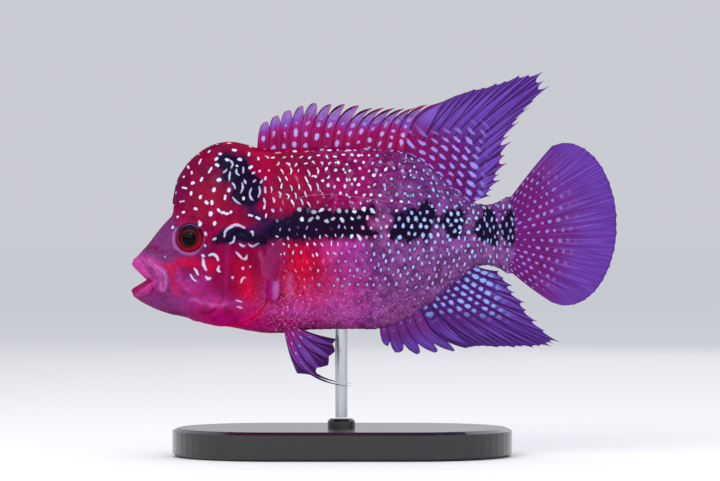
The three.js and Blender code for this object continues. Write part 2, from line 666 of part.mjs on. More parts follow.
function standRod() {
  const low = stand.height + stand.collarHeight + gap;
  const geometry = new THREE.CylinderGeometry(stand.rodRadius, stand.rodRadius, stand.rodTop - low, 16);
  const matrix = new THREE.Matrix4().makeRotationX(Math.PI / 2);
  matrix.premultiply(new THREE.Matrix4().makeTranslation(stand.rodX, 0, (low + stand.rodTop) / 2));
  return fromGeometry(geometry, matrix);
}

// The model as a scene

const model = new THREE.Group();

function addPart(name, made, material) {
  const { vertProperties, triVerts } = made.simplify(flatness).getMesh();
  const geometry = new THREE.BufferGeometry();
  geometry.setAttribute("position", new THREE.BufferAttribute(vertProperties, 3));
  geometry.setIndex(new THREE.BufferAttribute(triVerts, 1));
  const mesh = new THREE.Mesh(geometry, material);
  mesh.name = name;
  model.add(mesh);
}

addPart("head", nearest(-42, 48), pinkSkin);
addPart("nuchal_hump", nearest(-38.5, 69), redSkin);
addPart("lower_jaw", nearest(-54, 37), pinkSkin);
addPart("torso", nearest(-1, 53), flankSkin);
addPart("tail_peduncle", nearest(29.5, 54.6), flankSkin);
addPart("gill_cover_left", gillCovers.left, redSkin);
addPart("gill_cover_right", gillCovers.right, redSkin);
addPart("eye_left", eyes.left, eyeBall);
addPart("eye_right", eyes.right, eyeBall);
addPart("dorsal_fin_spiny", trimmed(dorsalSpines, outer), finSkin);
addPart("dorsal_fin_soft", trimmed(dorsalRays, outer), finSkin);
addPart("anal_fin_spiny", trimmed(analSpines, outer), finSkin);
addPart("anal_fin_soft", trimmed(analRays, outer), finSkin);
addPart("caudal_fin", trimmed(caudalSheet, outer), finSkin);
addPart("pelvic_fin_left", trimmed(pelvicFin(-1), outer), finSkin);
addPart("pelvic_fin_right", trimmed(pelvicFin(1), outer), finSkin);
addPart("pectoral_fin_left", trimmed(pectoralFin(-1), outer), clearFin);
addPart("pectoral_fin_right", trimmed(pectoralFin(1), outer), clearFin);
addPart("stand_base", standBase(), blackAcrylic);
addPart("stand_rod", trimmed(standRod(), outer), steel);

export default model;
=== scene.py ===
import math

import bpy
import numpy as np
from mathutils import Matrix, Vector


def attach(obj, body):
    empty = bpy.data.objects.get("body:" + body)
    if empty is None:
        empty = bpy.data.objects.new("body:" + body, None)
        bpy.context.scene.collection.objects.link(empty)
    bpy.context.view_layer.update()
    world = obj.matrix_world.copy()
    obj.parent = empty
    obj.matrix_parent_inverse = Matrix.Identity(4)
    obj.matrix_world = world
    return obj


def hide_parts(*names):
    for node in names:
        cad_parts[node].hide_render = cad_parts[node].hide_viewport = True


# A flowerhorn cichlid as a life-size display model. Shapes below are in millimetres, as in the
# solids, and become metres when a mesh is made. The head points to -X, the left flank to -Y.

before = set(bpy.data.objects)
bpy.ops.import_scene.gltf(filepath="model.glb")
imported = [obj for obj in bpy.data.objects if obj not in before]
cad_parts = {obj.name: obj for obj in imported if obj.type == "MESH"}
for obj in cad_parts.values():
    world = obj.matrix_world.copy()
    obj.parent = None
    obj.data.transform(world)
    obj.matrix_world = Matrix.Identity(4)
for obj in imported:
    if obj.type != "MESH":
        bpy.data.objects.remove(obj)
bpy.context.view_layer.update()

millimetre = 0.001
flanks = ((-1, "left"), (1, "right"))


# Colours and small numeric helpers

def colour(code):
    parts = [int(code[i:i + 2], 16) / 255 for i in (1, 3, 5)]
    return np.array([c / 12.92 if c <= 0.04045 else ((c + 0.055) / 1.055) ** 2.4 for c in parts])


def step(low, high, value):
    t = np.clip((value - low) / (high - low), 0, 1)
    return t * t * (3 - 2 * t)


def bell(distance, width):
    return np.exp(-(distance / width) ** 2)


def spline(a, b, c, d, t):
    # a smooth curve from b to c, with a and d as the neighbours
    bend = 2 * a - 5 * b + 4 * c - d
    twist = 3 * b - a - 3 * c + d
    return 0.5 * (2 * b + (c - a) * t + bend * t ** 2 + twist * t ** 3)


def smoothPath(points, perSpan=8):
    # a smooth line through given points
    p = np.array(points, float)
    p = np.vstack([2 * p[0] - p[1], p, 2 * p[-1] - p[-2]])
    out = []
    for i in range(1, len(p) - 2):
        a, b, c, d = p[i - 1:i + 3]
        t = np.linspace(0, 1, perSpan, endpoint=False)[:, None]
        out.append(spline(a, b, c, d, t))
    return np.vstack(out + [p[-2:-1]])


def distanceToPath(x, z, path):
    # distance from each x, z to a polyline, and how far along it the nearest point is, 0 to 1
    best = np.full(x.shape, 1e9)
    share = np.zeros(x.shape)
    spans = len(path) - 1
    for i in range(spans):
        a, b = path[i], path[i + 1]
        d = b - a
        t = np.clip(((x - a[0]) * d[0] + (z - a[1]) * d[1]) / max(d @ d, 1e-9), 0, 1)
        away = np.hypot(x - a[0] - t * d[0], z - a[1] - t * d[1])
        nearer = away < best
        best = np.where(nearer, away, best)
        share = np.where(nearer, (i + t) / spans, share)
    return best, share


def insidePath(x, z, path):
    # signed distance to a closed outline, negative inside
    away, _ = distanceToPath(x, z, np.vstack([path, path[:1]]))
    inside = np.zeros(x.shape, bool)
    for a, b in zip(path, np.roll(path, -1, axis=0)):
        crosses = (a[1] > z) != (b[1] > z)
        rise = b[1] - a[1] if abs(b[1] - a[1]) > 1e-9 else 1e-9
        run = (b[0] - a[0]) * (z - a[1]) / rise + a[0]
        inside ^= crosses & (x < run)
    return np.where(inside, -away, away)


def nearPath(x, z, path, margin):
    # which points lie near enough to a path for it to matter
    low, high = path.min(0) - margin, path.max(0) + margin
    return (x > low[0]) & (x < high[0]) & (z > low[1]) & (z < high[1])


def blend(rgb, tone, share):
    # moves each point's colour towards a tone
    return rgb + (tone - rgb) * np.clip(np.broadcast_to(share, len(rgb)), 0, 1)[:, None]


def ripple(x, y, z, size, seed=0):
    # cheap smooth noise between -1 and 1
    draw = np.random.default_rng(seed)
    total = 0
    for k in range(5):
        way = draw.normal(size=3)
        way *= (1.6 + 0.55 * k) / (size * np.linalg.norm(way))
        total = total + np.sin(way[0] * x + way[1] * y + way[2] * z + draw.uniform(0, 6.3))
    return total / 3.2


# The body's form

bodyRings = np.array([
    # top x, z, bottom x, z, half width, widest place, crown, keel, bow
    [-53.4, 44.9, -53.4, 42.1, 1.5, 0.5, 1, 1, 0],
    [-56.3, 46.1, -56.3, 41.7, 2.8, 0.55, 1, 1, 0.7],
    [-59.0, 46.6, -59.2, 41.5, 3.8, 0.6, 1, 1, 3.2],
    [-59.9, 47.4, -60.0, 40.8, 4.5, 0.62, 1, 1, 4.6],
    [-59.7, 48.7, -59.8, 39.6, 5.2, 0.6, 1, 1, 5.2],
    [-58.8, 49.4, -58.9, 38.8, 5.4, 0.59, 1, 1, 5.6],
    [-57.5, 50.8, -57.0, 37.6, 5.9, 0.58, 1, 0.95, 4.8],
    [-55.5, 53.1, -54.2, 36.2, 6.5, 0.57, 1, 0.9, 2.6],
    [-52.7, 56.8, -50.3, 34.9, 7.2, 0.58, 0.95, 0.88, 0.8],
    [-50.4, 59.3, -47.0, 34.2, 7.8, 0.6, 0.9, 0.86, 0],
    [-49.8, 61.6, -44.7, 33.3, 8.2, 0.62, 0.88, 0.85, 0],
    [-49.8, 64.4, -42.5, 32.8, 8.5, 0.64, 0.84, 0.85, 0],
    [-49.1, 67.7, -40.4, 32.4, 8.8, 0.65, 0.8, 0.85, 0],
    [-47.5, 70.8, -38.4, 32.1, 9.1, 0.65, 0.78, 0.85, 0],
    [-45.3, 73.5, -36.4, 31.8, 9.4, 0.65, 0.76, 0.85, 0],
    [-42.3, 75.9, -34.2, 31.5, 9.6, 0.64, 0.76, 0.85, 0],
    [-38.9, 77.4, -31.9, 31.0, 9.8, 0.63, 0.78, 0.85, 0],
    [-35.3, 77.8, -29.6, 30.6, 9.9, 0.61, 0.82, 0.85, 0],
    [-31.9, 77.2, -27.5, 30.3, 10, 0.58, 0.9, 0.85, 0],
    [-28.8, 76.3, -25.2, 30.2, 10, 0.55, 1, 0.85, 0],
    [-24.6, 76.1, -22.0, 30.4, 10, 0.53, 1.08, 0.87, 0],
    [-18.2, 76.4, -17.4, 31.0, 9.9, 0.52, 1.12, 0.9, 0],
    [-11.0, 76.6, -11.0, 31.3, 9.6, 0.51, 1.15, 0.93, 0],
    [-3.8, 76.4, -4.6, 31.4, 9.1, 0.5, 1.15, 0.97, 0],
    [2.6, 76.0, 0.8, 31.4, 8.5, 0.5, 1.15, 1, 0],
    [7.8, 75.2, 5.6, 32.8, 7.8, 0.5, 1.15, 1.05, 0],
    [12.6, 72.7, 10.6, 35.4, 7.0, 0.5, 1.12, 1.08, 0],
    [17.0, 68.9, 15.6, 38.9, 6.1, 0.5, 1.08, 1.06, 0],
    [20.7, 65.4, 20.2, 42.8, 5.2, 0.5, 1, 1, 0],
    [23.9, 62.9, 24.0, 46.0, 4.5, 0.5, 0.95, 0.95, 0],
    [27.3, 62.2, 27.4, 47.1, 3.9, 0.5, 0.95, 0.95, 0],
    [30.3, 62.8, 30.4, 46.5, 3.2, 0.5, 0.95, 0.95, 0],
    [32.8, 64.1, 32.9, 45.1, 2.4, 0.5, 0.95, 0.95, 0],
    [34.8, 63.9, 34.8, 45.3, 1.3, 0.5, 0.95, 0.95, 0],
], float)
lastRing = len(bodyRings) - 1


def ringAt(s):
    s = np.asarray(s, float)
    i = np.clip(np.floor(s).astype(int), 0, lastRing - 1)
    t = (s - i)[..., None]
    a, b, c, d = [bodyRings[np.clip(i + k, 0, lastRing)] for k in (-1, 0, 1, 2)]
    return spline(a, b, c, d, t)


def bodyPoint(s, angle, grow=0.0):
    # angle is 0 at the back, a quarter turn on the left flank and a half turn at the belly
    r = ringAt(s)
    c, side = np.cos(angle), np.sin(angle)
    down = np.where(c >= 0, r[..., 5] * (1 - c), r[..., 5] - (1 - r[..., 5]) * c)
    chordX, chordZ = r[..., 2] - r[..., 0], r[..., 3] - r[..., 1]
    share = down + (2 * down - 1) * grow / np.hypot(chordX, chordZ)
    width = (r[..., 4] + grow) * np.abs(side) ** np.where(c >= 0, r[..., 6], r[..., 7])
    x = r[..., 0] + chordX * share + r[..., 8] * (1 - np.abs(c))
    return np.stack([x, -np.sign(side) * width, r[..., 1] + chordZ * share], -1)


def bodyNormal(s, angle):
    along = bodyPoint(s + 0.05, angle) - bodyPoint(s - 0.05, angle)
    down = bodyPoint(s, angle + 0.03) - bodyPoint(s, angle - 0.03)
    normal = np.cross(along, down)
    normal /= np.maximum(np.linalg.norm(normal, axis=-1, keepdims=True), 1e-9)
    back, belly = bodyPoint(s, 0 * angle), bodyPoint(s, 0 * angle + math.pi)
    outward = bodyPoint(s, angle) - (back + belly) / 2
    outward[..., 0] = 0
    return normal * np.sign(np.sum(normal * outward, -1, keepdims=True) + 1e-12)


flankGrid = np.meshgrid(np.linspace(4, lastRing, 900), np.linspace(0.06, math.pi - 0.06, 300))
flankPoints = bodyPoint(*flankGrid)


def flankAt(x, z, side=-1):
    # the flank's point and outward direction at x, z; side is -1 for left, 1 for right
    away = (flankPoints[..., 0] - x) ** 2 + (flankPoints[..., 2] - z) ** 2
    i = np.unravel_index(np.argmin(away), away.shape)
    turn = np.array([1, -side, 1])
    return flankPoints[i] * turn, bodyNormal(flankGrid[0][i], flankGrid[1][i]) * turn


# Meshes and materials

def makeMesh(name, points, faces, smooth=True):
    mesh = bpy.data.meshes.new(name)
    points = np.asarray(points, float) * millimetre
    faces = np.asarray(faces, np.int32)
    corners = faces.shape[1]
    mesh.vertices.add(len(points))
    mesh.vertices.foreach_set("co", points.astype(np.float32).ravel())
    mesh.loops.add(faces.size)
    mesh.loops.foreach_set("vertex_index", faces.ravel())
    mesh.polygons.add(len(faces))
    mesh.polygons.foreach_set("loop_start", np.arange(0, faces.size, corners, dtype=np.int32))
    mesh.polygons.foreach_set("use_smooth", np.full(len(faces), smooth))
    mesh.update(calc_edges=True)
    mesh.validate()
    piece = bpy.data.objects.new(name, mesh)
    bpy.context.scene.collection.objects.link(piece)
    return piece


def setNumbers(piece, name, values):
    values = np.asarray(values, np.float32)
    kinds = {1: ("FLOAT", "value"), 3: ("FLOAT_VECTOR", "vector"), 4: ("FLOAT_COLOR", "color")}
    kind, field = kinds[1 if values.ndim == 1 else values.shape[1]]
    attribute = piece.data.attributes.new(name, kind, "POINT")
    attribute.data.foreach_set(field, values.ravel())


def setTint(piece, rgb):
    setNumbers(piece, "tint", np.concatenate([rgb, np.ones((len(rgb), 1))], 1))


def setBakeMap(piece, perPoint):
    layer = piece.data.uv_layers.new(name="OFBake")
    index = np.empty(len(piece.data.loops), np.int32)
    piece.data.loops.foreach_get("vertex_index", index)
    layer.data.foreach_set("uv", perPoint[index].astype(np.float32).ravel())


def gridFaces(rows, columns, closed=False):
    # quads over a grid of points stored row by row; closed joins the last column to the first
    r = np.arange(rows - 1)[:, None]
    c = np.arange(columns if closed else columns - 1)[None, :]
    a = r * columns + c
    b = r * columns + (c + 1) % columns
    return np.stack([a, b, b + columns, a + columns], -1).reshape(-1, 4)


class Signal:
    # a number or colour inside a material; plain arithmetic on it adds the nodes
    def __init__(self, shader, socket):
        self.shader = shader
        self.socket = socket

    def __add__(self, other):
        return self.shader.math("ADD", self, other)

    def __sub__(self, other):
        return self.shader.math("SUBTRACT", self, other)

    def __mul__(self, other):
        return self.shader.math("MULTIPLY", self, other)

    def __truediv__(self, other):
        return self.shader.math("DIVIDE", self, other)

    def __abs__(self):
        return self.shader.math("ABSOLUTE", self)


class Shader:
    # builds one material's nodes in a few words
    def __init__(self, name, roughness, **sockets):
        self.material = bpy.data.materials.new(name)
        self.material.use_nodes = True
        self.tree = self.material.node_tree
        self.base = self.tree.nodes["Principled BSDF"]
        for key, value in {"Roughness": roughness, **sockets}.items():
            self.base.inputs[key.replace("_", " ")].default_value = value

    def put(self, socket, value):
        if isinstance(value, Signal):
            self.tree.links.new(value.socket, socket)
        elif isinstance(value, np.ndarray):
            socket.default_value = (*value, 1) if len(socket.default_value) == 4 else tuple(value)
        else:
            socket.default_value = value

    def paint(self, value, socket="Base Color"):
        self.put(self.base.inputs[socket], value)

    def node(self, kind, inputs, output=0, **settings):
        # adds a node, sets it up, feeds its inputs and gives back one output
        node = self.tree.nodes.new("ShaderNode" + kind)
        for key, value in settings.items():
            setattr(node, key, value)
        for key, value in inputs.items():
            self.put(node.inputs[key], value)
        return Signal(self, node.outputs[output])

    def read(self, name, output="Fac"):
        return self.node("Attribute", {}, output, attribute_name=name)

    def math(self, operation, a, b=0.0):
        return self.node("Math", {0: a, 1: b}, operation=operation)

    def parts(self, vector):
        first = self.node("SeparateXYZ", {0: vector})
        return [Signal(self, output) for output in first.socket.node.outputs]

    def join(self, x, y):
        return self.node("CombineXYZ", {0: x, 1: y})

    def length(self, x, y):
        return self.node("VectorMath", {0: self.join(x, y)}, "Value", operation="LENGTH")

    def ease(self, value, low, high, start=0.0, end=1.0):
        inputs = {"Value": value, "From Min": low, "From Max": high, "To Min": start, "To Max": end}
        return self.node("MapRange", inputs, "Result", interpolation_type="SMOOTHSTEP")

    def mix(self, share, a, b):
        return self.node("Mix", {0: share, 6: a, 7: b}, 2, data_type="RGBA", clamp_factor=True)

    def shade(self, share, body, depth):
        return self.mix(share, body, self.mix(depth, body, np.zeros(3)))

    def noise(self, scale, detail, roughness, at=None):
        at = at or self.node("TexCoord", {}, "Object")
        return self.node("TexNoise", {"Vector": at, "Scale": scale, "Detail": detail, "Roughness": roughness})

    def bump(self, height, distance):
        inputs = {"Distance": distance * millimetre, "Strength": 0.5, "Height": height}
        self.paint(self.node("Bump", inputs), "Normal")


# Camera and lights

view = {"middle": (-3.59, 53.25), "width": 178.14, "distance": 900, "sensor": 36}
cameraData = bpy.data.cameras.new("camera")
cameraData.sensor_width = view["sensor"]
cameraData.lens = view["sensor"] * view["distance"] / view["width"]
cameraData.clip_start = 0.01
camera = bpy.data.objects.new("camera", cameraData)
camera.location = np.array([view["middle"][0], -view["distance"], view["middle"][1]]) * millimetre
camera.rotation_euler = (math.pi / 2, 0, 0)
bpy.context.scene.collection.objects.link(camera)
bpy.context.scene.camera = camera

aim = (-5, 0, 50)
lights = {
    # place and size in mm, watts, colour; each one is turned towards the aim
    "key": ((-330, -560, 430), 640, 2.3, "#fffaf6"),
    "fill": ((460, -520, 200), 700, 0.8, "#f2f0ff"),
    "top": ((0, -40, 560), 520, 0.8, "#ffffff"),
    "spark": ((-230, -620, 420), 90, 0.45, "#ffffff"),
    "back": ((260, 620, 460), 700, 0.7, "#fffaf6"),
}
for name, (place, size, watts, tone) in lights.items():
    data = bpy.data.lights.new(name, "AREA")
    data.size = size * millimetre
    data.energy = watts
    data.color = colour(tone)
    lamp = bpy.data.objects.new(name, data)
    lamp.location = np.array(place) * millimetre
    lamp.rotation_euler = Vector(np.array(aim) - np.array(place)).to_track_quat("-Z", "Y").to_euler()
    bpy.context.scene.collection.objects.link(lamp)

studio = {
    "air": (0.84, 0.86, 0.92, 1), "glow": 0.7, "floor": "#fcfcfd", "floorReach": 30000, "floorDrop": 0.05,
}
world = bpy.data.worlds.new("studio")
world.use_nodes = True
world.node_tree.nodes["Background"].inputs[0].default_value = studio["air"]
world.node_tree.nodes["Background"].inputs[1].default_value = studio["glow"]
bpy.context.scene.world = world
bpy.context.scene.view_settings.view_transform = "Standard"

floorCorners = [[sx * studio["floorReach"], sy * studio["floorReach"], -studio["floorDrop"]]
                for sx, sy in ((-1, -1), (1, -1), (1, 1), (-1, 1))]
floor = makeMesh("floor", floorCorners, [[0, 1, 2, 3]])
paleFloor = Shader("pale floor", 0.8, Specular_IOR_Level=0.1)
paleFloor.paint(colour(studio["floor"]))
floor.data.materials.append(paleFloor.material)
print("camera, lights and floor")


# Named places on the fish, in side view

eye = {"x": -45.5, "z": 53.9, "radius": 3.45, "depth": 2.3, "bulge": 1.3}
nostril = {"x": -54.0, "z": 51.3, "radius": 0.45}
gillRear = smoothPath([
    [-34.5, 55.2], [-31.2, 54.6], [-27.6, 52.0], [-25.9, 47], [-25.7, 41.5], [-27.0, 37.2], [-30.0, 34.0],
    [-34.5, 32.3], [-40, 32.1], [-46.4, 33.6]])
gillEdge = np.vstack([gillRear, smoothPath([[-46.4, 33.6], [-44, 42], [-40, 50], [-34.5, 55.2]])])
cheekGroove = smoothPath([[-35.9, 53.6], [-36.6, 49], [-36.7, 43], [-37.0, 38.5], [-39.5, 35.6], [-44, 34.8]])
upperLipFold = smoothPath([[-57.6, 49.3], [-54.9, 48.2], [-52.9, 45.4], [-52.0, 41.9]])
mouthFolds = [
    # ridges and grooves round the mouth: path, half width, height in mm
    ([[-59.6, 47.3], [-57.6, 46.2], [-56.0, 44.4], [-55.2, 42.6]], 0.75, 0.4),
    ([[-58.6, 48.7], [-55.9, 47.2], [-54.7, 45.2], [-53.8, 42.9]], 0.28, -0.3),
    ([[-56.0, 48.9], [-53.4, 46.8], [-52.7, 44.6], [-52.1, 41.0]], 0.5, 0.42),
    ([[-54.4, 47.8], [-52.9, 45.9], [-52.2, 43.0]], 0.15, -0.14),
    ([[-53.6, 47.6], [-51.7, 45.2], [-51.1, 43.2], [-51.5, 40.6]], 0.42, 0.5),
    ([[-52.2, 47.6], [-50.6, 45.3], [-50.1, 43.0], [-50.8, 40.2]], 0.32, -0.35),
    ([[-59.6, 39.8], [-57.2, 41.3], [-55.0, 42.8]], 0.85, 0.35),
    ([[-58.6, 38.7], [-56, 39.9], [-54.5, 41.2], [-54.9, 43.0]], 0.28, -0.3),
    ([[-54.6, 40.8], [-52.3, 40.3], [-49.8, 41]], 0.28, -0.25),
]
lateralLine = smoothPath([[-25, 62], [-21, 64.0], [-12, 64.6], [-4.8, 64], [6.3, 62.5], [12.5, 61.5]])


reliefs = {
    # height and half width in mm of each ridge, below zero for a groove
    "eyeFold": (0.24, 0.34), "browFold": (0.12, 0.7), "nostrilRim": (0.12, 0.25), "nostrilPit": (-0.45, 0.36),
    "gillGroove": (-0.3, 0.45), "cheekGroove": (-0.24, 0.42), "cheekRidge": (0.14, 0.6),
    "lateralLine": (0.05, 0.3),
}
socketDepth = 1.9
coverLift = 0.42


def relief(x, y, z):
    # how far the skin stands out or in, in mm, from its side view place
    def ridge(name, away):
        height, half = reliefs[name]
        return height * bell(away, half)

    eyeAway = np.hypot(x - eye["x"], z - eye["z"])
    out = ridge("eyeFold", eyeAway - 3.8)
    out -= socketDepth * step(eye["radius"] + 0.35, eye["radius"] - 0.9, eyeAway)
    out += ridge("browFold", eyeAway - 5.6) * step(-1, 2, x - eye["x"])
    noseAway = np.hypot(x - nostril["x"], z - nostril["z"])
    out += ridge("nostrilRim", noseAway - nostril["radius"] - 0.2) + ridge("nostrilPit", noseAway)
    rear, along = distanceToPath(x, z, gillRear)
    cover = insidePath(x, z, gillEdge) < 0
    fade = step(0, 0.15, along) * step(1, 0.85, along)
    raised = coverLift * np.exp(-rear / 3.5) * step(0, 0.35, rear)
    out += np.where(cover, raised, ridge("gillGroove", rear)) * fade
    groove, along = distanceToPath(x, z, cheekGroove)
    out += ridge("cheekGroove", groove) * step(1, 0.8, along) * step(0, 0.15, along)
    out += ridge("cheekRidge", groove - 1.0) * step(1, 0.8, along)
    for path, half, height in mouthFolds:
        path = smoothPath(path, 4)
        close = nearPath(x, z, path, 3 * half)
        fold, along = distanceToPath(x[close], z[close], path)
        out[close] += height * bell(fold, half) * step(0, 0.2, along) * step(1.0, 0.85, along)
    line, _ = distanceToPath(x, z, lateralLine)
    return out + ridge("lateralLine", line)


# Colours of the skin, painted in soft layers over the side view

tones = {
    "crimson": colour("#88003c"),
    "hotRed": colour("#d4023a"),
    "deepRed": colour("#600432"),
    "plum": colour("#661250"),
    "magenta": colour("#a80c70"),
    "orchid": colour("#be40ac"),
    "mauve": colour("#783676"),
    "chin": colour("#8a2c74"),
    "purple": colour("#783088"),
    "dusk": colour("#2e1244"),
    "lip": colour("#cc50aa"),
    "rose": colour("#dc6cb8"),
    "haze": colour("#9c609e"),
    "lipRed": colour("#c22480"),
    "paintedShine": colour("#c47ace"),
    "lavender": colour("#9a6cc4"),
    "pearl": colour("#d4dcff"),
    "black": colour("#120724"),
    "inside": colour("#7c1038"),
}
softMarks = {
    # tone: places in side view with half sizes and strength
    "hotRed": [
        (-17.5, 46.5, 6.5, 6.5, 0.95), (-15, 41.5, 9, 4, 0.7), (-40.2, 47.0, 1.6, 1.9, 0.9),
        (-31.2, 41.6, 3.0, 4.6, 0.75), (-33.2, 47, 2.4, 2, 0.4), (-40, 63, 6, 4, 0.3),
        (-27.5, 71, 3.5, 4, 0.3), (-34.5, 57.6, 3.5, 1.4, 0.4),
    ],
    "orchid": [
        (-24.6, 48.6, 2.6, 4.2, 0.55), (-26.4, 39.6, 2, 3, 0.4), (-44.6, 43.4, 3.4, 2.6, 0.45),
        (-33.6, 37.6, 3, 1.3, 0.35), (-41, 38.6, 5, 2.2, 0.4), (-18, 36, 6, 2.2, 0.45),
        (-9, 38, 8, 5, 0.5),
    ],
    "deepRed": [(-8, 71, 6, 2.6, 0.35), (0, 67, 3, 3, 0.2), (-17, 72.4, 4, 1.5, 0.4), (7, 71.5, 5, 2, 0.4)],
    "mauve": [(-46.6, 49.2, 3.4, 1.6, 0.5)],
    "haze": [
        (1.4, 56.5, 2.2, 6.0, 0.6), (15.8, 57, 1.3, 4, 0.45), (23.6, 57, 1.4, 5, 0.5), (6, 66, 5, 3, 0.3),
    ],
}
softPaths = {
    # tone: paths in side view with half width and strength
    "hotRed": [
        ([[-53.0, 48.2], [-51.2, 46.6], [-50.3, 44.6]], 0.5, 0.5),
        ([[-50.4, 46.2], [-47.7, 47.5], [-44.2, 47.7]], 1.25, 0.6),
        ([[-49.4, 45.2], [-49.0, 42.6], [-47.6, 40.6]], 1.1, 0.42),
        ([[-46.8, 43.9], [-45.6, 42.0], [-43.8, 40.6]], 0.5, 0.5),
    ],
    "orchid": [
        ([[-36.2, 52.6], [-36.5, 47], [-36.6, 41.6]], 0.8, 0.1),
        ([[-48.2, 45.6], [-47.0, 42.8], [-45, 41.2]], 0.6, 0.5),
    ],
    "lipRed": [
        ([[-59.6, 47.2], [-57.6, 46.2], [-56.0, 44.4], [-55.4, 43.0]], 0.95, 0.85),
        ([[-59.2, 40.2], [-57.2, 41.3], [-55.4, 42.6]], 1.2, 0.9),
    ],
    "crimson": [
        ([[-59.4, 39.8], [-58.0, 40.3]], 0.9, 0.6), ([[-57.0, 51.0], [-54.6, 51.4]], 0.4, 0.4),
        ([[-51.8, 50.9], [-50.8, 50.8]], 0.6, 0.35),
    ],
    "rose": [
        ([[-55.3, 48.4], [-53.4, 46.7], [-52.7, 44.6], [-52.2, 41.6]], 0.5, 0.75),
        # the first path on the next line is a painted highlight, a pale streak beside the pectoral fin's root
        ([[-20.9, 44.6], [-20.8, 39.6]], 0.8, 0.6), ([[-44.6, 39.0], [-40, 37.2], [-36, 37.6]], 0.5, 0.3),
        ([[-28.2, 50.4], [-26.8, 45.0]], 0.5, 0.3),
    ],
    # painted highlights: a pale band down the ridge behind the upper lip, and an arc before the eye
    "paintedShine": [
        ([[-53.0, 46.8], [-51.7, 45.2], [-51.1, 43.2], [-51.5, 41.2]], 0.42, 0.85),
        ([[-48.9, 51.6], [-49.5, 53.8], [-48.9, 56.0]], 0.5, 0.35),
    ],
    "mauve": [
        ([[-58.2, 48.4], [-55.9, 47.2], [-54.8, 45.2], [-54.0, 43.3]], 0.3, 0.75),
        ([[-56.5, 38.9], [-53, 38.4], [-48, 38.4]], 1.5, 0.6),
    ],
    "plum": [
        # the next four paths are painted shade: dark lines in the grooves round the mouth, and the chin's
        # underside darkened
        ([[-54.3, 47.6], [-52.9, 45.8], [-52.3, 43.4]], 0.13, 0.7),
        ([[-54.1, 40.8], [-52.3, 40.4], [-50.4, 41]], 0.25, 0.7),
        ([[-58.4, 38.9], [-56, 39.9], [-54.6, 41.2], [-54.9, 42.6]], 0.22, 0.6),
        ([[-56.5, 36.9], [-53.5, 35.6], [-49, 34.6]], 0.9, 0.6),
        ([[-43.4, 50.2], [-41.0, 50.6]], 1.1, 0.85), ([[-41.0, 50.4], [-40.4, 49.0]], 0.5, 0.6),
    ],
    "dusk": [
        ([[-31.0, 62.6], [-29.6, 60.6], [-27.8, 58.2], [-25.6, 56.6]], 1.4, 0.95),
        ([[-33.5, 54.8], [-28, 55.2], [-24, 55.6]], 1.9, 0.95),
        ([[-28, 55.4], [-24, 56], [-21, 56.4]], 2.1, 0.97),
    ],
    "black": [([[-26.6, 55.0], [-24, 55.2], [-21, 55.8]], 1.3, 0.95)],
}


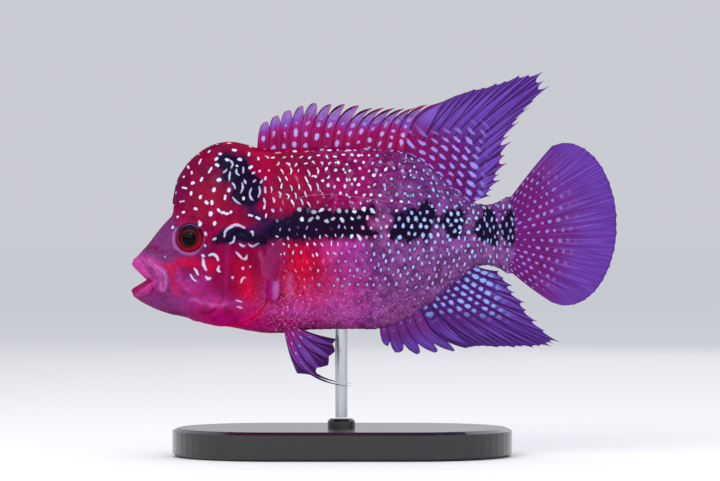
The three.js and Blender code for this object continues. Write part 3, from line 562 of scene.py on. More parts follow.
def fleshTint(x, y, z, near):
    # near is the distance to the closest black patch
    rgb = np.tile(tones["crimson"], (len(x), 1))

    def layer(tone, mask):
        nonlocal rgb
        rgb = blend(rgb, tones[tone], mask)

    wander = ripple(x, y, z, 9, 3)
    fine = ripple(x, y, z, 2.6, 4)
    warpX, warpZ = x + 0.5 * ripple(x, y, z, 3.1, 5), z + 0.5 * ripple(x, y, z, 3.1, 6)
    layer("deepRed", 0.6 * step(57, 64, z) * step(-29, -35, x))
    layer("plum", 0.6 * step(-43.5, -49, x + 0.6 * wander) * step(60, 64, z))
    # above the band: crimson, then magenta and purple behind the middle
    layer("magenta", 0.9 * step(-24, -2, x + 3 * wander) * (1 - 0.2 * step(70, 62, z)))
    layer("purple", 0.9 * step(-5, 11, x + 2.5 * wander + 0.12 * (76 - z)) * step(47, 53, z))
    # below it: hot red behind the gill cover, orchid to the middle, purple behind
    low = step(56, 51, z)
    layer("orchid", 0.86 * low * step(-17, -8, x + 2.5 * wander))
    layer("purple", 0.85 * low * step(-7, 4, x + 3 * wander + 0.15 * (50 - z)))
    layer("magenta", 0.4 * low * step(40, 34, z) * step(-4, -22, x))
    layer("dusk", 0.5 * step(34, 31, z + 0.6 * fine) * step(-24, -12, x))
    layer("lavender", 0.2 * step(4, 20, x + 3 * wander))
    layer("haze", 0.28 * low * step(-4, 8, x + 3 * wander))
    # head: mauve snout and chin, red cheek
    snout = step(-45.5, -51.0, x + 0.7 * wander) * step(61.5, 57, z + 0.5 * wander) * step(42, 46, z)
    layer("mauve", 0.9 * snout)
    layer("chin", 0.85 * step(46, 43, z) * step(-41, -47, x + 0.8 * wander))
    layer("magenta", 0.2 * bell(np.hypot((x + 40) / 7, (z - 43) / 8), 1) * (0.6 + 0.9 * fine))
    layer("magenta", 0.3 * step(35.5, 33, z) * step(-22, -34, x))
    layer("lip", 0.7 * step(-54.5, -56.5, x) * step(50, 48.4, z) * step(38.6, 40, z))
    for tone, spots in softMarks.items():
        for x0, z0, halfX, halfZ, strength in spots:
            layer(tone, strength * bell(np.hypot((warpX - x0) / halfX, (warpZ - z0) / halfZ), 1))
    for tone, paths in softPaths.items():
        for path, half, strength in paths:
            path = smoothPath(path, 4)
            close = nearPath(warpX, warpZ, path, 3 * half)
            away = np.full(x.shape, 20.0)
            away[close], _ = distanceToPath(warpX[close], warpZ[close], path)
            layer(tone, strength * bell(away, half))
    layer("dusk", 0.55 * step(1.3, 0, near))
    eyeAway = np.hypot(x - eye["x"], z - eye["z"])
    layer("lavender", 0.4 * bell(eyeAway - 3.75, 0.2) * (1.1 - 0.8 * step(52, 56, z)))
    layer("deepRed", 0.6 * step(3.9, 3.3, eyeAway))
    layer("crimson", 0.6 * bell(np.hypot(x - nostril["x"], z - nostril["z"]), 0.7))
    # a painted highlight along the lower front of the fold round the eye
    foldLight = step(0.2, -0.7, ((x - eye["x"]) + (z - eye["z"])) / 5)
    layer("paintedShine", 0.55 * bell(eyeAway - 3.95, 0.32) * foldLight)
    fold, _ = distanceToPath(x, z, upperLipFold)
    layer("lip", 0.5 * bell(fold, 1.4))
    # red line along the gill cover's lower edge
    rear, along = distanceToPath(x, z, gillRear)
    layer("hotRed", 0.9 * bell(rear + 0.2, 0.75) * step(0.4, 0.55, along) * step(1, 0.9, along))
    layer("hotRed", 0.25 * step(0.2, 0.9, ripple(x, y, z, 4.5, 7)) * step(-48, -40, x) * step(-8, -20, x))
    # painted light: the lower body from the cheek back is brightened, making up for the shade it gets facing
    # down
    lower = 1 + 0.35 * step(43, 33, z) * step(-50, -40, x)
    return np.clip(rgb * (lower * (1 + 0.15 * fine + 0.08 * wander))[:, None], 0, 1)


blackPatches = {
    # outlines in side view
    "hump": [
        [-39.0, 73.7], [-36.6, 74.4], [-33.5, 73.7], [-31.7, 72.7], [-31.6, 70.6], [-30.0, 69.2],
        [-28.3, 68.1], [-28.1, 65.7], [-28.6, 63.6], [-30.0, 61.9], [-32.1, 62.2], [-34.2, 62.6],
        [-35.2, 64.3], [-35.6, 66.8], [-37.3, 67.4], [-38.0, 69.2], [-37.5, 70.6], [-38.7, 71.6],
    ],
    "eyeBar": [
        [-40.2, 53.4], [-38.6, 54.4], [-36.8, 55.6], [-34.4, 56.6], [-31.4, 56.3], [-29.4, 55.0],
        [-27.6, 54.2], [-26.8, 52.9], [-28.6, 52.3], [-31.6, 53.1], [-33.8, 53.5], [-36.2, 52.7],
        [-38.6, 51.7], [-39.6, 52.3],
    ],
    "band": [
        [-26.2, 55.8], [-24.8, 57.8], [-22.6, 58.6], [-20.4, 60.4], [-16, 60.8], [-12, 60.7], [-6, 61.0],
        [-1.6, 61.8], [0.5, 60.4], [-1.8, 58.7], [-1.2, 57.2], [1.2, 55.6], [0.4, 54.0], [-2.4, 54.5],
        [-6, 53.8], [-12, 53.6], [-18, 53.5], [-22.5, 53.8], [-25, 54.5],
    ],
    "second": [
        [4.8, 59.8], [8.6, 60.3], [12.0, 62.0], [14.2, 61.6], [14.4, 58.5], [14.0, 54.2], [9, 53.6],
        [5.0, 54.2], [4.2, 57],
    ],
    "third": [
        [17.4, 60.4], [20.2, 61.0], [21.6, 60.2], [21.8, 55.4], [20.4, 54.0], [17.8, 54.4], [17.0, 57],
    ],
    "bar": [
        [25.6, 59.4], [27.4, 60.8], [29.4, 60.6], [30.0, 56.5], [30.0, 53.4], [27.4, 53.0], [25.2, 54.6],
    ],
    "tailBar": [
        [31.5, 60.4], [33.4, 61.2], [34.8, 60.6], [35.6, 57.6], [35.4, 54.6], [34.0, 53.2], [31.8, 54.8],
        [31.4, 57],
    ],
}


def darkness(x, y, z):
    # mm to the nearest black patch, negative inside
    away = np.full(x.shape, 20.0)
    for outline in blackPatches.values():
        path = smoothPath(outline + outline[:1], 5)[:-1]
        near = nearPath(x, z, path, 2.5)
        away[near] = np.minimum(away[near], insidePath(x[near], z[near], path))
    # the patches towards the tail are more broken up
    ragged = step(-8, 2, x)
    fine, coarse = ripple(x, y, z, 1.4, 8), ripple(x, y, z, 3.2, 9)
    return away + (0.4 + 0.4 * ragged) * fine + (0.5 + 0.2 * ragged) * coarse


def speckled(x, z):
    # where the belly's granular pink speckle shows
    return step(46, 37, z + 0.1 * (x + 20)) * step(-34, -20, x)


# Skin

skinShape = {
    "inset": 0.12, "headRows": 340, "flankRows": 100, "around": 400,
    "lipFold": 0.1, "lipPace": 8.5, "pebble": 0.06,
}


def stations():
    head = np.linspace(0, 19.5, skinShape["headRows"], endpoint=False)
    return np.concatenate([head, np.linspace(19.5, lastRing, skinShape["flankRows"])])


def makeSkin():
    rows, columns = len(stations()), skinShape["around"]
    s = np.repeat(stations(), columns)
    angle = np.tile(np.arange(columns) / columns * 2 * math.pi, rows)
    plain = bodyPoint(s, angle)
    x, y, z = plain.T
    outside = step(3.2, 5.5, s)
    height = relief(x, y, z) * outside * step(0.5, 2.5, np.abs(y))
    # lips: soft ridges that run round the mouth
    lip = step(3.5, 4.2, s) * step(6.6, 5.8, s) * step(0.6, 2.4, np.abs(y))
    height = height + lip * skinShape["lipFold"] * np.sin(s * skinShape["lipPace"])
    height += skinShape["pebble"] * outside * step(24, 10, s) * ripple(x, y, z, 1.6, 11)
    points = plain + bodyNormal(s, angle) * (height - skinShape["inset"])[:, None]
    faces = gridFaces(rows, columns, closed=True)
    skin = makeMesh("skin", points, faces)
    near = np.where(s < 6, 20, darkness(x, y, z))
    tint = blend(fleshTint(x, y, z, near), tones["lip"], 0.5 * step(5.6, 4.4, s))
    tint = blend(tint, tones["crimson"], 0.8 * step(4.6, 3.6, s) * step(44.5, 43, z))
    # painted shade: the mouth's inside darkens towards its depth
    inside = tones["inside"] * (0.35 + 0.65 * step(0, 2, s))[:, None]
    tint = blend(tint, inside, step(3.0, 1.6, s))
    setTint(skin, tint)
    setNumbers(skin, "dark", near)
    setNumbers(skin, "speckle", speckled(x, z))
    setNumbers(skin, "pearl", headPearls(points, s))
    setNumbers(skin, "worm", cheekMarks(x, y, z, s))
    return skin


humpPearls = {
    # pearls set one by one in side view: x, z, half length, lean in radians, radius
    "placed": [(-34.5, 75.6, 0.2, 0, 0.42), (-38.0, 74.6, 0.1, 0, 0.36), (-40.8, 75.3, 0.2, 0.8, 0.3),
               (-43.0, 72.8, 0.5, 1.2, 0.26), (-35.9, 77.4, 0.3, 0, 0.3), (-30.9, 74.6, 0.3, 1.5, 0.3),
               (-28.6, 73.5, 0.2, 1.5, 0.26), (-45.1, 70.0, 0.2, 1.4, 0.3), (-46.0, 71.4, 0.2, -0.8, 0.26),
               (-40.4, 70.6, 0.6, 1.0, 0.28), (-42.5, 68.3, 0.35, 1.1, 0.3), (-44.7, 67.4, 0.1, 0, 0.4),
               (-47.1, 69.0, 0.1, 0, 0.24), (-46.8, 66.2, 0.5, -0.2, 0.24), (-49.0, 65.0, 0.2, 1.4, 0.2),
               (-45.1, 64.8, 0.2, 1.3, 0.34), (-42.8, 64.0, 0.2, 1.2, 0.34), (-39.4, 65.7, 0.15, 1.5, 0.46),
               (-47.4, 62.9, 0.5, 0.2, 0.22), (-43.9, 61.0, 0.2, -0.6, 0.34), (-41.3, 62.6, 0.2, -0.7, 0.38),
               (-39.9, 62.6, 0.2, 1.4, 0.36), (-47.0, 60.2, 0.15, 0, 0.3), (-48.5, 59.1, 0.1, 0, 0.26),
               (-40.2, 59.8, 0.15, 1.2, 0.48), (-36.6, 63.8, 0.4, 1.4, 0.3), (-35.7, 65.7, 0.15, 0.8, 0.42),
               (-38.2, 68.1, 0.2, 0.2, 0.46), (-38.7, 71.8, 0.2, -0.6, 0.38), (-38.9, 73.3, 0.15, 0.8, 0.38),
               (-36.3, 73.2, 0.2, -0.3, 0.38), (-33.1, 73.2, 0.2, 0.1, 0.42), (-30.4, 71.3, 0.3, 0.7, 0.34),
               (-38.2, 60.7, 0.3, -0.9, 0.3), (-37.1, 60.2, 0.2, 0.3, 0.32), (-36.2, 59.9, 0.2, 0, 0.34),
               (-35.3, 60.3, 0.2, 0.9, 0.3), (-39.2, 57.4, 0.2, 1.0, 0.42), (-42.8, 57.3, 0.25, 1.1, 0.36),
               (-29.7, 69.9, 0.3, 0.8, 0.24), (-28.2, 70.4, 0.2, 1.2, 0.24), (-26.0, 70.4, 0.3, 1.0, 0.24),
               (-26.8, 68.6, 0.3, 1.3, 0.22), (-33.8, 71.7, 0.1, 0, 0.26), (-32.1, 63.6, 0.2, 1.5, 0.34),
               (-26.4, 73.9, 0.5, -0.5, 0.22), (-27.0, 61.6, 0.5, 1.4, 0.24), (-28.6, 58.8, 0.5, -0.5, 0.3),
               (-30.4, 59.4, 0.4, -0.5, 0.28), (-26.6, 59.4, 0.4, 1.3, 0.22)],
    # more are strewn over the crown, between these two corners of ring and angle
    "crownFrom": (8.5, -0.75), "crownTo": (19.5, 0.75), "tries": 2500,
    "crownSpacing": 2.9, "crownRadius": (0.28, 0.4), "crownHalf": (0.05, 0.3),
}


def headPearls(points, s):
    # mm to the nearest pearl on the hump and nape, negative inside
    draw = np.random.default_rng(5)
    centres, ways, halves, radii = [], [], [], []
    for side in (-1, 1):
        for x, z, half, lean, radius in humpPearls["placed"]:
            if side > 0:
                x += draw.normal(0, 0.25)
                z += draw.normal(0, 0.25)
                lean += draw.normal(0, 0.3)
            a, _ = flankAt(x - half * math.cos(lean), z - half * math.sin(lean), side)
            b, _ = flankAt(x + half * math.cos(lean), z + half * math.sin(lean), side)
            centres.append((a + b) / 2)
            halves.append(np.linalg.norm(b - a) / 2)
            ways.append((b - a) / max(np.linalg.norm(b - a), 1e-6))
            radii.append(radius)
    trySpot = draw.uniform(humpPearls["crownFrom"], humpPearls["crownTo"], (humpPearls["tries"], 2))
    for p in bodyPoint(trySpot[:, 0], trySpot[:, 1]):
        gap = humpPearls["crownSpacing"] * draw.uniform(0.9, 1.2)
        if np.min(np.linalg.norm(np.array(centres) - p, axis=1)) > gap:
            way = draw.normal(size=3)
            centres.append(p)
            ways.append(way / np.linalg.norm(way))
            halves.append(draw.uniform(*humpPearls["crownHalf"]))
            radii.append(draw.uniform(*humpPearls["crownRadius"]))
    away = np.full(len(points), 20.0)
    near = (s > 7) & (s < 22)
    local = points[near]
    best = np.full(len(local), 20.0)
    for p, w, h, r in zip(centres, ways, halves, radii):
        close = np.abs(local - p).max(1) < 2
        q = local[close] - p
        t = np.clip(q @ w, -h, h)
        best[close] = np.minimum(best[close], np.linalg.norm(q - t[:, None] * w, axis=1) - r)
    away[near] = best
    return away


blotchWorms = [
    # curved white marks inside the hump's black blotch
    [[-35.6, 73.1], [-34.9, 72.2], [-35.2, 71.1]], [[-37.1, 69.9], [-36.3, 70.7]],
    [[-35.5, 70.2], [-35.6, 69.2], [-35.7, 68.0]], [[-33.9, 70.9], [-33.9, 69.9], [-33.2, 69.3]],
    [[-32.2, 71.3], [-32.3, 69.9]], [[-34.9, 67.4], [-34.4, 66.8], [-34.2, 66.0]],
    [[-32.5, 67.4], [-32.3, 66.2], [-32.8, 65.0]], [[-32.0, 68.2], [-31.6, 67.3]],
    [[-30.2, 66.1], [-30.6, 65.0], [-30.3, 63.6], [-29.7, 63.1]],
    [[-28.3, 66.5], [-28.1, 65.2], [-28.5, 63.9]], [[-34.8, 63.9], [-34.0, 62.9], [-32.9, 62.2]],
    [[-29.8, 67.6], [-29.2, 68.1]], [[-27.5, 68.1], [-28.1, 67.3]], [[-26.9, 66.4], [-26.8, 65.0]],
    [[-27.2, 63.6], [-26.8, 62.4]],
]


cheekPaths = {
    # pale marks on the cheek and by the eye: points in side view and half width
    "ringTop": ([[-40.6, 49.6], [-39.6, 49.9], [-38.7, 49.3], [-38.3, 48.4]], 0.36),
    "ringFront": ([[-42.0, 48.7], [-41.9, 47.3], [-41.3, 46.1]], 0.4),
    "ringFrontTop": ([[-42.2, 49.7], [-41.8, 49.4]], 0.38),
    "ringFoot": ([[-41.3, 44.3], [-40.9, 43.9], [-40.2, 44.0]], 0.42),
    "ringRear": ([[-38.1, 46.9], [-38.4, 46.1], [-37.9, 45.6]], 0.34),
    "swirlOne": ([[-44.2, 46.4], [-43.7, 45.8], [-43.3, 44.9]], 0.3),
    "swirlTwo": ([[-45.2, 45.0], [-44.6, 43.9], [-43.8, 43.2]], 0.22),
    "vFront": ([[-34.0, 50.4], [-33.0, 49.5], [-32.4, 48.8]], 0.3),
    "vBack": ([[-32.4, 48.8], [-31.6, 48.7], [-31.2, 49.6]], 0.3),
    "dotOne": ([[-32.3, 46.6], [-32.2, 46.3]], 0.34),
    "dotTwo": ([[-30.5, 47.0], [-30.4, 46.7]], 0.26),
    "dotThree": ([[-34.9, 44.3], [-34.7, 44.1]], 0.34),
    "hook": ([[-31.7, 44.2], [-32.3, 44.0], [-32.8, 42.9]], 0.24),
    "throatOne": ([[-34.0, 38.6], [-32.6, 38.2]], 0.2),
    "throatTwo": ([[-33.8, 37.0], [-32.6, 36.7]], 0.2),
    "crest": ([[-36.8, 54.2], [-36.5, 55.6], [-35.2, 56.6], [-33.6, 57.1], [-31.8, 56.3]], 0.34),
    "underBar": ([[-35.6, 52.4], [-34.6, 53.0], [-34.3, 54.2]], 0.26),
    "underBarTwo": ([[-33.2, 52.5], [-32.2, 51.9], [-31.6, 52.2]], 0.26),
    "underBarThree": ([[-30.9, 52.4], [-29.9, 51.8], [-28.4, 52.6]], 0.24),
    "byEyeOne": ([[-41.5, 55.2], [-41.3, 54.6]], 0.36),
    "byEyeTwo": ([[-41.6, 52.2], [-41.5, 51.8]], 0.3),
    "inBar": ([[-39.6, 53.4], [-38.9, 53.8]], 0.3),
    "barHook": ([[-30.4, 55.4], [-29.9, 55.4], [-29.8, 54.4]], 0.24),
    "browPearl": ([[-43.0, 57.9], [-42.7, 57.3]], 0.42),
    "chinDot": ([[-51.5, 49.3], [-51.5, 49.2]], 0.2),
}


def cheekMarks(x, y, z, s):
    # mm to the nearest pale mark, negative inside
    away = np.full(x.shape, 20.0)
    marks = list(cheekPaths.values()) + [(points, 0.24) for points in blotchWorms]
    for points, half in marks:
        path = smoothPath(points, 4)
        near = nearPath(x, z, path, 1.5) & (s > 7) & (np.abs(y) > 3)
        d, share = distanceToPath(x[near], z[near], path)
        away[near] = np.minimum(away[near], d - half * (0.65 + 0.35 * np.sin(share * math.pi)))
    return away


flesh = {"roughness": 0.42, "coat": 0.08, "coatRoughness": 0.22, "relief": 0.12, "pearlShow": 0.92,
         "grain": 900, "fray": 1500, "dots": 1900, "patches": 520}


def fleshMaterial(name, scaled):
    wet = Shader(name, flesh["roughness"], Coat_Weight=flesh["coat"], Coat_Roughness=flesh["coatRoughness"],
                 Specular_IOR_Level=0.0)
    tint = wet.read("tint", "Color")
    grain = wet.noise(flesh["grain"], 4, 0.6)
    body = wet.mix(wet.ease(grain, 0.3, 0.72), wet.mix(0.34, tint, np.zeros(3)), tint)
    dots = wet.ease(wet.noise(flesh["dots"], 3, 0.6), 0.46, 0.64, 0, 0.5)
    body = wet.mix(dots * wet.read("speckle"), body, tones["rose"])
    rough = wet.noise(flesh["fray"], 2, 0.5) - 0.5
    if scaled:
        along, wide, rear = wet.parts(wet.read("scaleAt", "Vector"))
        pearlX, pearlZ, bend = wet.parts(wet.read("pearlAt", "Vector"))
        pairX, pairZ, pairSize = wet.parts(wet.read("pairAt", "Vector"))
        shape = wet.length(pearlX + bend * (pearlZ * pearlZ), pearlZ)
        shape = wet.math("MINIMUM", shape, wet.length(pearlX - pairX, pearlZ - pairZ) * pairSize)
        # a dark halo round each pearl, dark and pale patches, a dark rim
        body = wet.shade(wet.ease(shape, 1.0, 2.6, 0.8, 0.15) * rear, body, 0.7)
        patchy = wet.noise(flesh["patches"], 3, 0.6)
        body = wet.shade(wet.ease(patchy, 0.52, 0.64, 0, 0.6) * rear, body, 0.6)
        body = wet.mix(wet.ease(patchy, 0.48, 0.34, 0, 0.5) * rear, body, tones["haze"])
        body = wet.shade(wet.ease(wet.length(along, wide), 0.8, 1.04, 0, 0.3), body, 0.7)
    dark = wet.read("dark") + rough * 1.6
    body = wet.mix(wet.ease(dark, -0.25, 0.35, 0.97, 0), body, tones["black"])
    if scaled:
        pearl = wet.ease(shape + rough * 1.5, 0.75, 1.15, 1, 0)
        pale = wet.mix(wet.ease(shape, 0.1, 0.9, 0.25, 0), wet.read("pale", "Color"), np.full(3, 0.9))
        strength = wet.read("show")
    else:
        worm = wet.read("worm") + rough * 0.35
        body = wet.mix(wet.ease(worm, -0.2, 0.14, 0.75, 0), body, tones["pearl"])
        pearl = wet.ease(wet.read("pearl") + rough * 0.3, -0.08, 0.1, 1, 0)
        pale = tones["pearl"]
        strength = flesh["pearlShow"]
    wet.paint(wet.mix(pearl * strength, body, pale))
    wet.bump(grain * 0.5 + pearl * 0.35, flesh["relief"])
    return wet.material


skin = makeSkin()
skin.data.materials.append(fleshMaterial("wet skin", False))
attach(skin, "root")
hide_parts("head", "nuchal_hump", "lower_jaw", "torso", "tail_peduncle",
            "gill_cover_left", "gill_cover_right")
print("skin")


# Scales

scaleShape = {
    "column": 1.0, "row": 2.1, "long": 3.5, "cells": (12, 10), "lift": 0.1, "sink": 0.2,
    "from": -27.5, "to": 33.8, "midRow": 56.5, "crowding": 0.012, "shrink": 0.024, "least": 0.9,
    "unevenSide": 0.05, "unevenLift": 0.012, "unevenTone": 0.05, "bakeSize": 0.0035,
}


def towardsTail(x):
    # scales grow smaller towards the tail
    return np.interp(x, [-27, 15, 33], [1, 0.98, 0.8])


def columnTable():
    # for each column of scales: x, s, and how angle and arc length go together there
    table = []
    x = scaleShape["from"]
    every = np.linspace(14, lastRing, 2000)
    middles = ringAt(every)[:, [0, 2]].mean(1)
    angle = np.linspace(0, math.pi, 400)
    while x < scaleShape["to"]:
        s = np.interp(x, middles, every)
        p = bodyPoint(np.full(len(angle), s), angle)
        arc = np.concatenate([[0], np.cumsum(np.linalg.norm(np.diff(p, axis=0), axis=1))])
        table.append((x, s, angle, arc))
        x += scaleShape["column"] * towardsTail(x)
    return table


def scalePlaces():
    # column, s, angle, distance down the ring, size, mm per s and x of every scale on one flank
    draw = np.random.default_rng(9)
    places = []
    for column, (x0, s0, angle, arc) in enumerate(columnTable()):
        ring = bodyPoint(np.full(len(angle), s0), angle)
        pitch = scaleShape["row"] * np.interp(x0, [-27, 5, 24, 34], [1, 1, 0.78, 0.7])
        middle = np.interp(-(scaleShape["midRow"] + 0.02 * x0), -ring[:, 2], arc)
        near = bodyPoint(np.full(len(angle), s0 + 0.1), angle)
        perS = np.linalg.norm(near - ring, axis=1) / 0.1
        for row in range(-30, 40):
            # rows draw closer towards the belly
            low = max(row - 3, 0)
            down = middle + pitch * (row - scaleShape["crowding"] * low ** 2)
            size = pitch * (1 - scaleShape["shrink"] * low)
            if (column + row) % 2 == 0 and 0.6 < down < arc[-1] - 0.5 and size > scaleShape["least"]:
                angle0 = np.interp(down, arc, angle)
                places.append((column, s0, angle0, down, size, np.interp(down, arc, perS), x0))
    places = np.array(places)
    spot = bodyPoint(places[:, 1], places[:, 2])
    ragged = -26.9 + draw.uniform(0, 1.8, len(spot))
    clear = (insidePath(spot[:, 0], spot[:, 2], gillEdge) > 0.5) & (spot[:, 0] > ragged)
    return places[clear], spot[clear]


def scaleLift(along, wide, spots, draw):
    # how far each point of each scale stands off the body
    sink, rise = scaleShape["sink"], scaleShape["lift"]
    lift = np.interp(along, [-1, -0.3, 1], [-sink, -0.03, rise]) - 0.03 * wide ** 2
    lift = lift + draw.normal(0, scaleShape["unevenLift"], (len(spots), 1)) * (along > 0)
    # the scales sink into plain skin at the nape and along the throat
    throat = step(-10, -18, spots[:, 0]) * step(38, 35, spots[:, 2])
    plate = step(-26.5, -21, spots[:, 0]) * (1 - 0.9 * throat)
    return lift - 0.1 * (1 - plate)[:, None] - 0.02


def scaleContrast(spots):
    # how strongly the dark halos and patches show, full towards the tail
    front = np.interp(spots[:, 2], [44, 54], [-10, 0])
    rear = 0.12 + 0.88 * step(-12, 6, spots[:, 0] - front)
    return np.maximum(rear, 0.5 * step(-20, -10, spots[:, 0]) * step(58, 63, spots[:, 2]))


def makeScales(side, label):
    draw = np.random.default_rng(40 + side)
    across, down = scaleShape["cells"]
    u, v = np.meshgrid(np.linspace(-1, 1, across), np.linspace(-1, 1, down), indexing="ij")
    # round the rear edge, narrow the root
    along = (u * np.where(u > 0, np.sqrt(1 - 0.72 * v ** 2), 1 - 0.1 * v ** 2)).ravel()
    wide = (v * np.interp(u, [-1, -0.2, 0.5, 1], [0.82, 1, 0.97, 0.9])).ravel()
    places, spots = scalePlaces()
    column, s0, angle0, down0, size, perS, x0 = places.T[..., None]
    count, cells = len(places), len(along)
    half = scaleShape["long"] / 2 * towardsTail(x0)
    high = size * 1.03
    jitter = draw.normal(0, scaleShape["unevenSide"], (count, 2))
    s = np.clip(s0 + (along * half + jitter[:, :1]) / perS, 0, lastRing)
    downRing = down0 + wide * high + jitter[:, 1:]
    table = columnTable()
    angles = []
    for k in range(count):
        _, _, angle, arc = table[int(column[k, 0])]
        angles.append(np.interp(np.clip(downRing[k], 0.05, arc[-1] - 0.05), arc, angle))
    s, angles = s.ravel(), np.concatenate(angles)
    lift = scaleLift(along, wide, spots, draw).ravel()
    points = bodyPoint(s, angles) + bodyNormal(s, angles) * lift[:, None]
    points[:, 1] *= -side
    faces = (gridFaces(across, down)[None] + (np.arange(count) * cells)[:, None, None]).reshape(-1, 4)
    if side > 0:
        faces = faces[:, ::-1]
    scales = makeMesh("scales_" + label, points, faces)

    def perPoint(*values):
        # values for each scale, each cell or both, as one row for each point
        spread = [np.broadcast_to(value, (count, cells)) for value in values]
        return np.stack(spread, -1).reshape(-1, len(values))

    setNumbers(scales, "scaleAt", perPoint((along - 0.25) / 0.75, wide, scaleContrast(spots)[:, None]))
    mark = pearlsFor(spots, draw)
    turn, rx, rz, bend = [mark[key][:, None] for key in ("turn", "rx", "rz", "bend")]
    ax = (along - 0.42) * half + mark["shift"][:, :1]
    az = wide * high + mark["shift"][:, 1:]
    cosTurn, sinTurn = np.cos(turn), np.sin(turn)
    pearlX, pearlZ = (ax * cosTurn + az * sinTurn) / rx, (az * cosTurn - ax * sinTurn) / rz
    setNumbers(scales, "pearlAt", perPoint(pearlX, pearlZ, bend))
    setNumbers(scales, "pairAt", np.repeat(mark["pair"], cells, 0))
    setNumbers(scales, "show", np.repeat(mark["show"], cells))
    setNumbers(scales, "pale", np.repeat(np.concatenate([mark["pale"], np.ones((count, 1))], 1), cells, 0))
    local = darkness(*points.T)
    setNumbers(scales, "speckle", speckled(points[:, 0], points[:, 2]))
    uneven = np.repeat(1 + draw.normal(0, scaleShape["unevenTone"], (count, 1)), cells, 0)
    setTint(scales, np.clip(fleshTint(*points.T, local) * uneven, 0, 1))
    whole = np.repeat(darkness(spots[:, 0] + 0.5, spots[:, 1], spots[:, 2]), cells)
    setNumbers(scales, "dark", 0.3 * whole + 0.7 * local)
    # each scale has its own small place on an unwrap of the body by station and angle
    bakeU = 0.02 + 0.96 * s0 / lastRing + along * scaleShape["bakeSize"]
    bakeV = 0.5 + side * 0.5 * (0.02 + 0.94 * angle0 / math.pi) + wide * scaleShape["bakeSize"]
    setBakeMap(scales, perPoint(bakeU, bakeV))
    return scales


pearlTones = {
    "white": colour("#d8e6ff"), "sky": colour("#9cbef8"), "violet": colour("#a692ea"),
    "rose": colour("#ecb4de"), "coral": colour("#f07aa0"), "lilac": colour("#b8a8ee"),
}
pearlPairs = {"share": 0.22, "apart": 2.1, "size": 1.25, "none": 50}


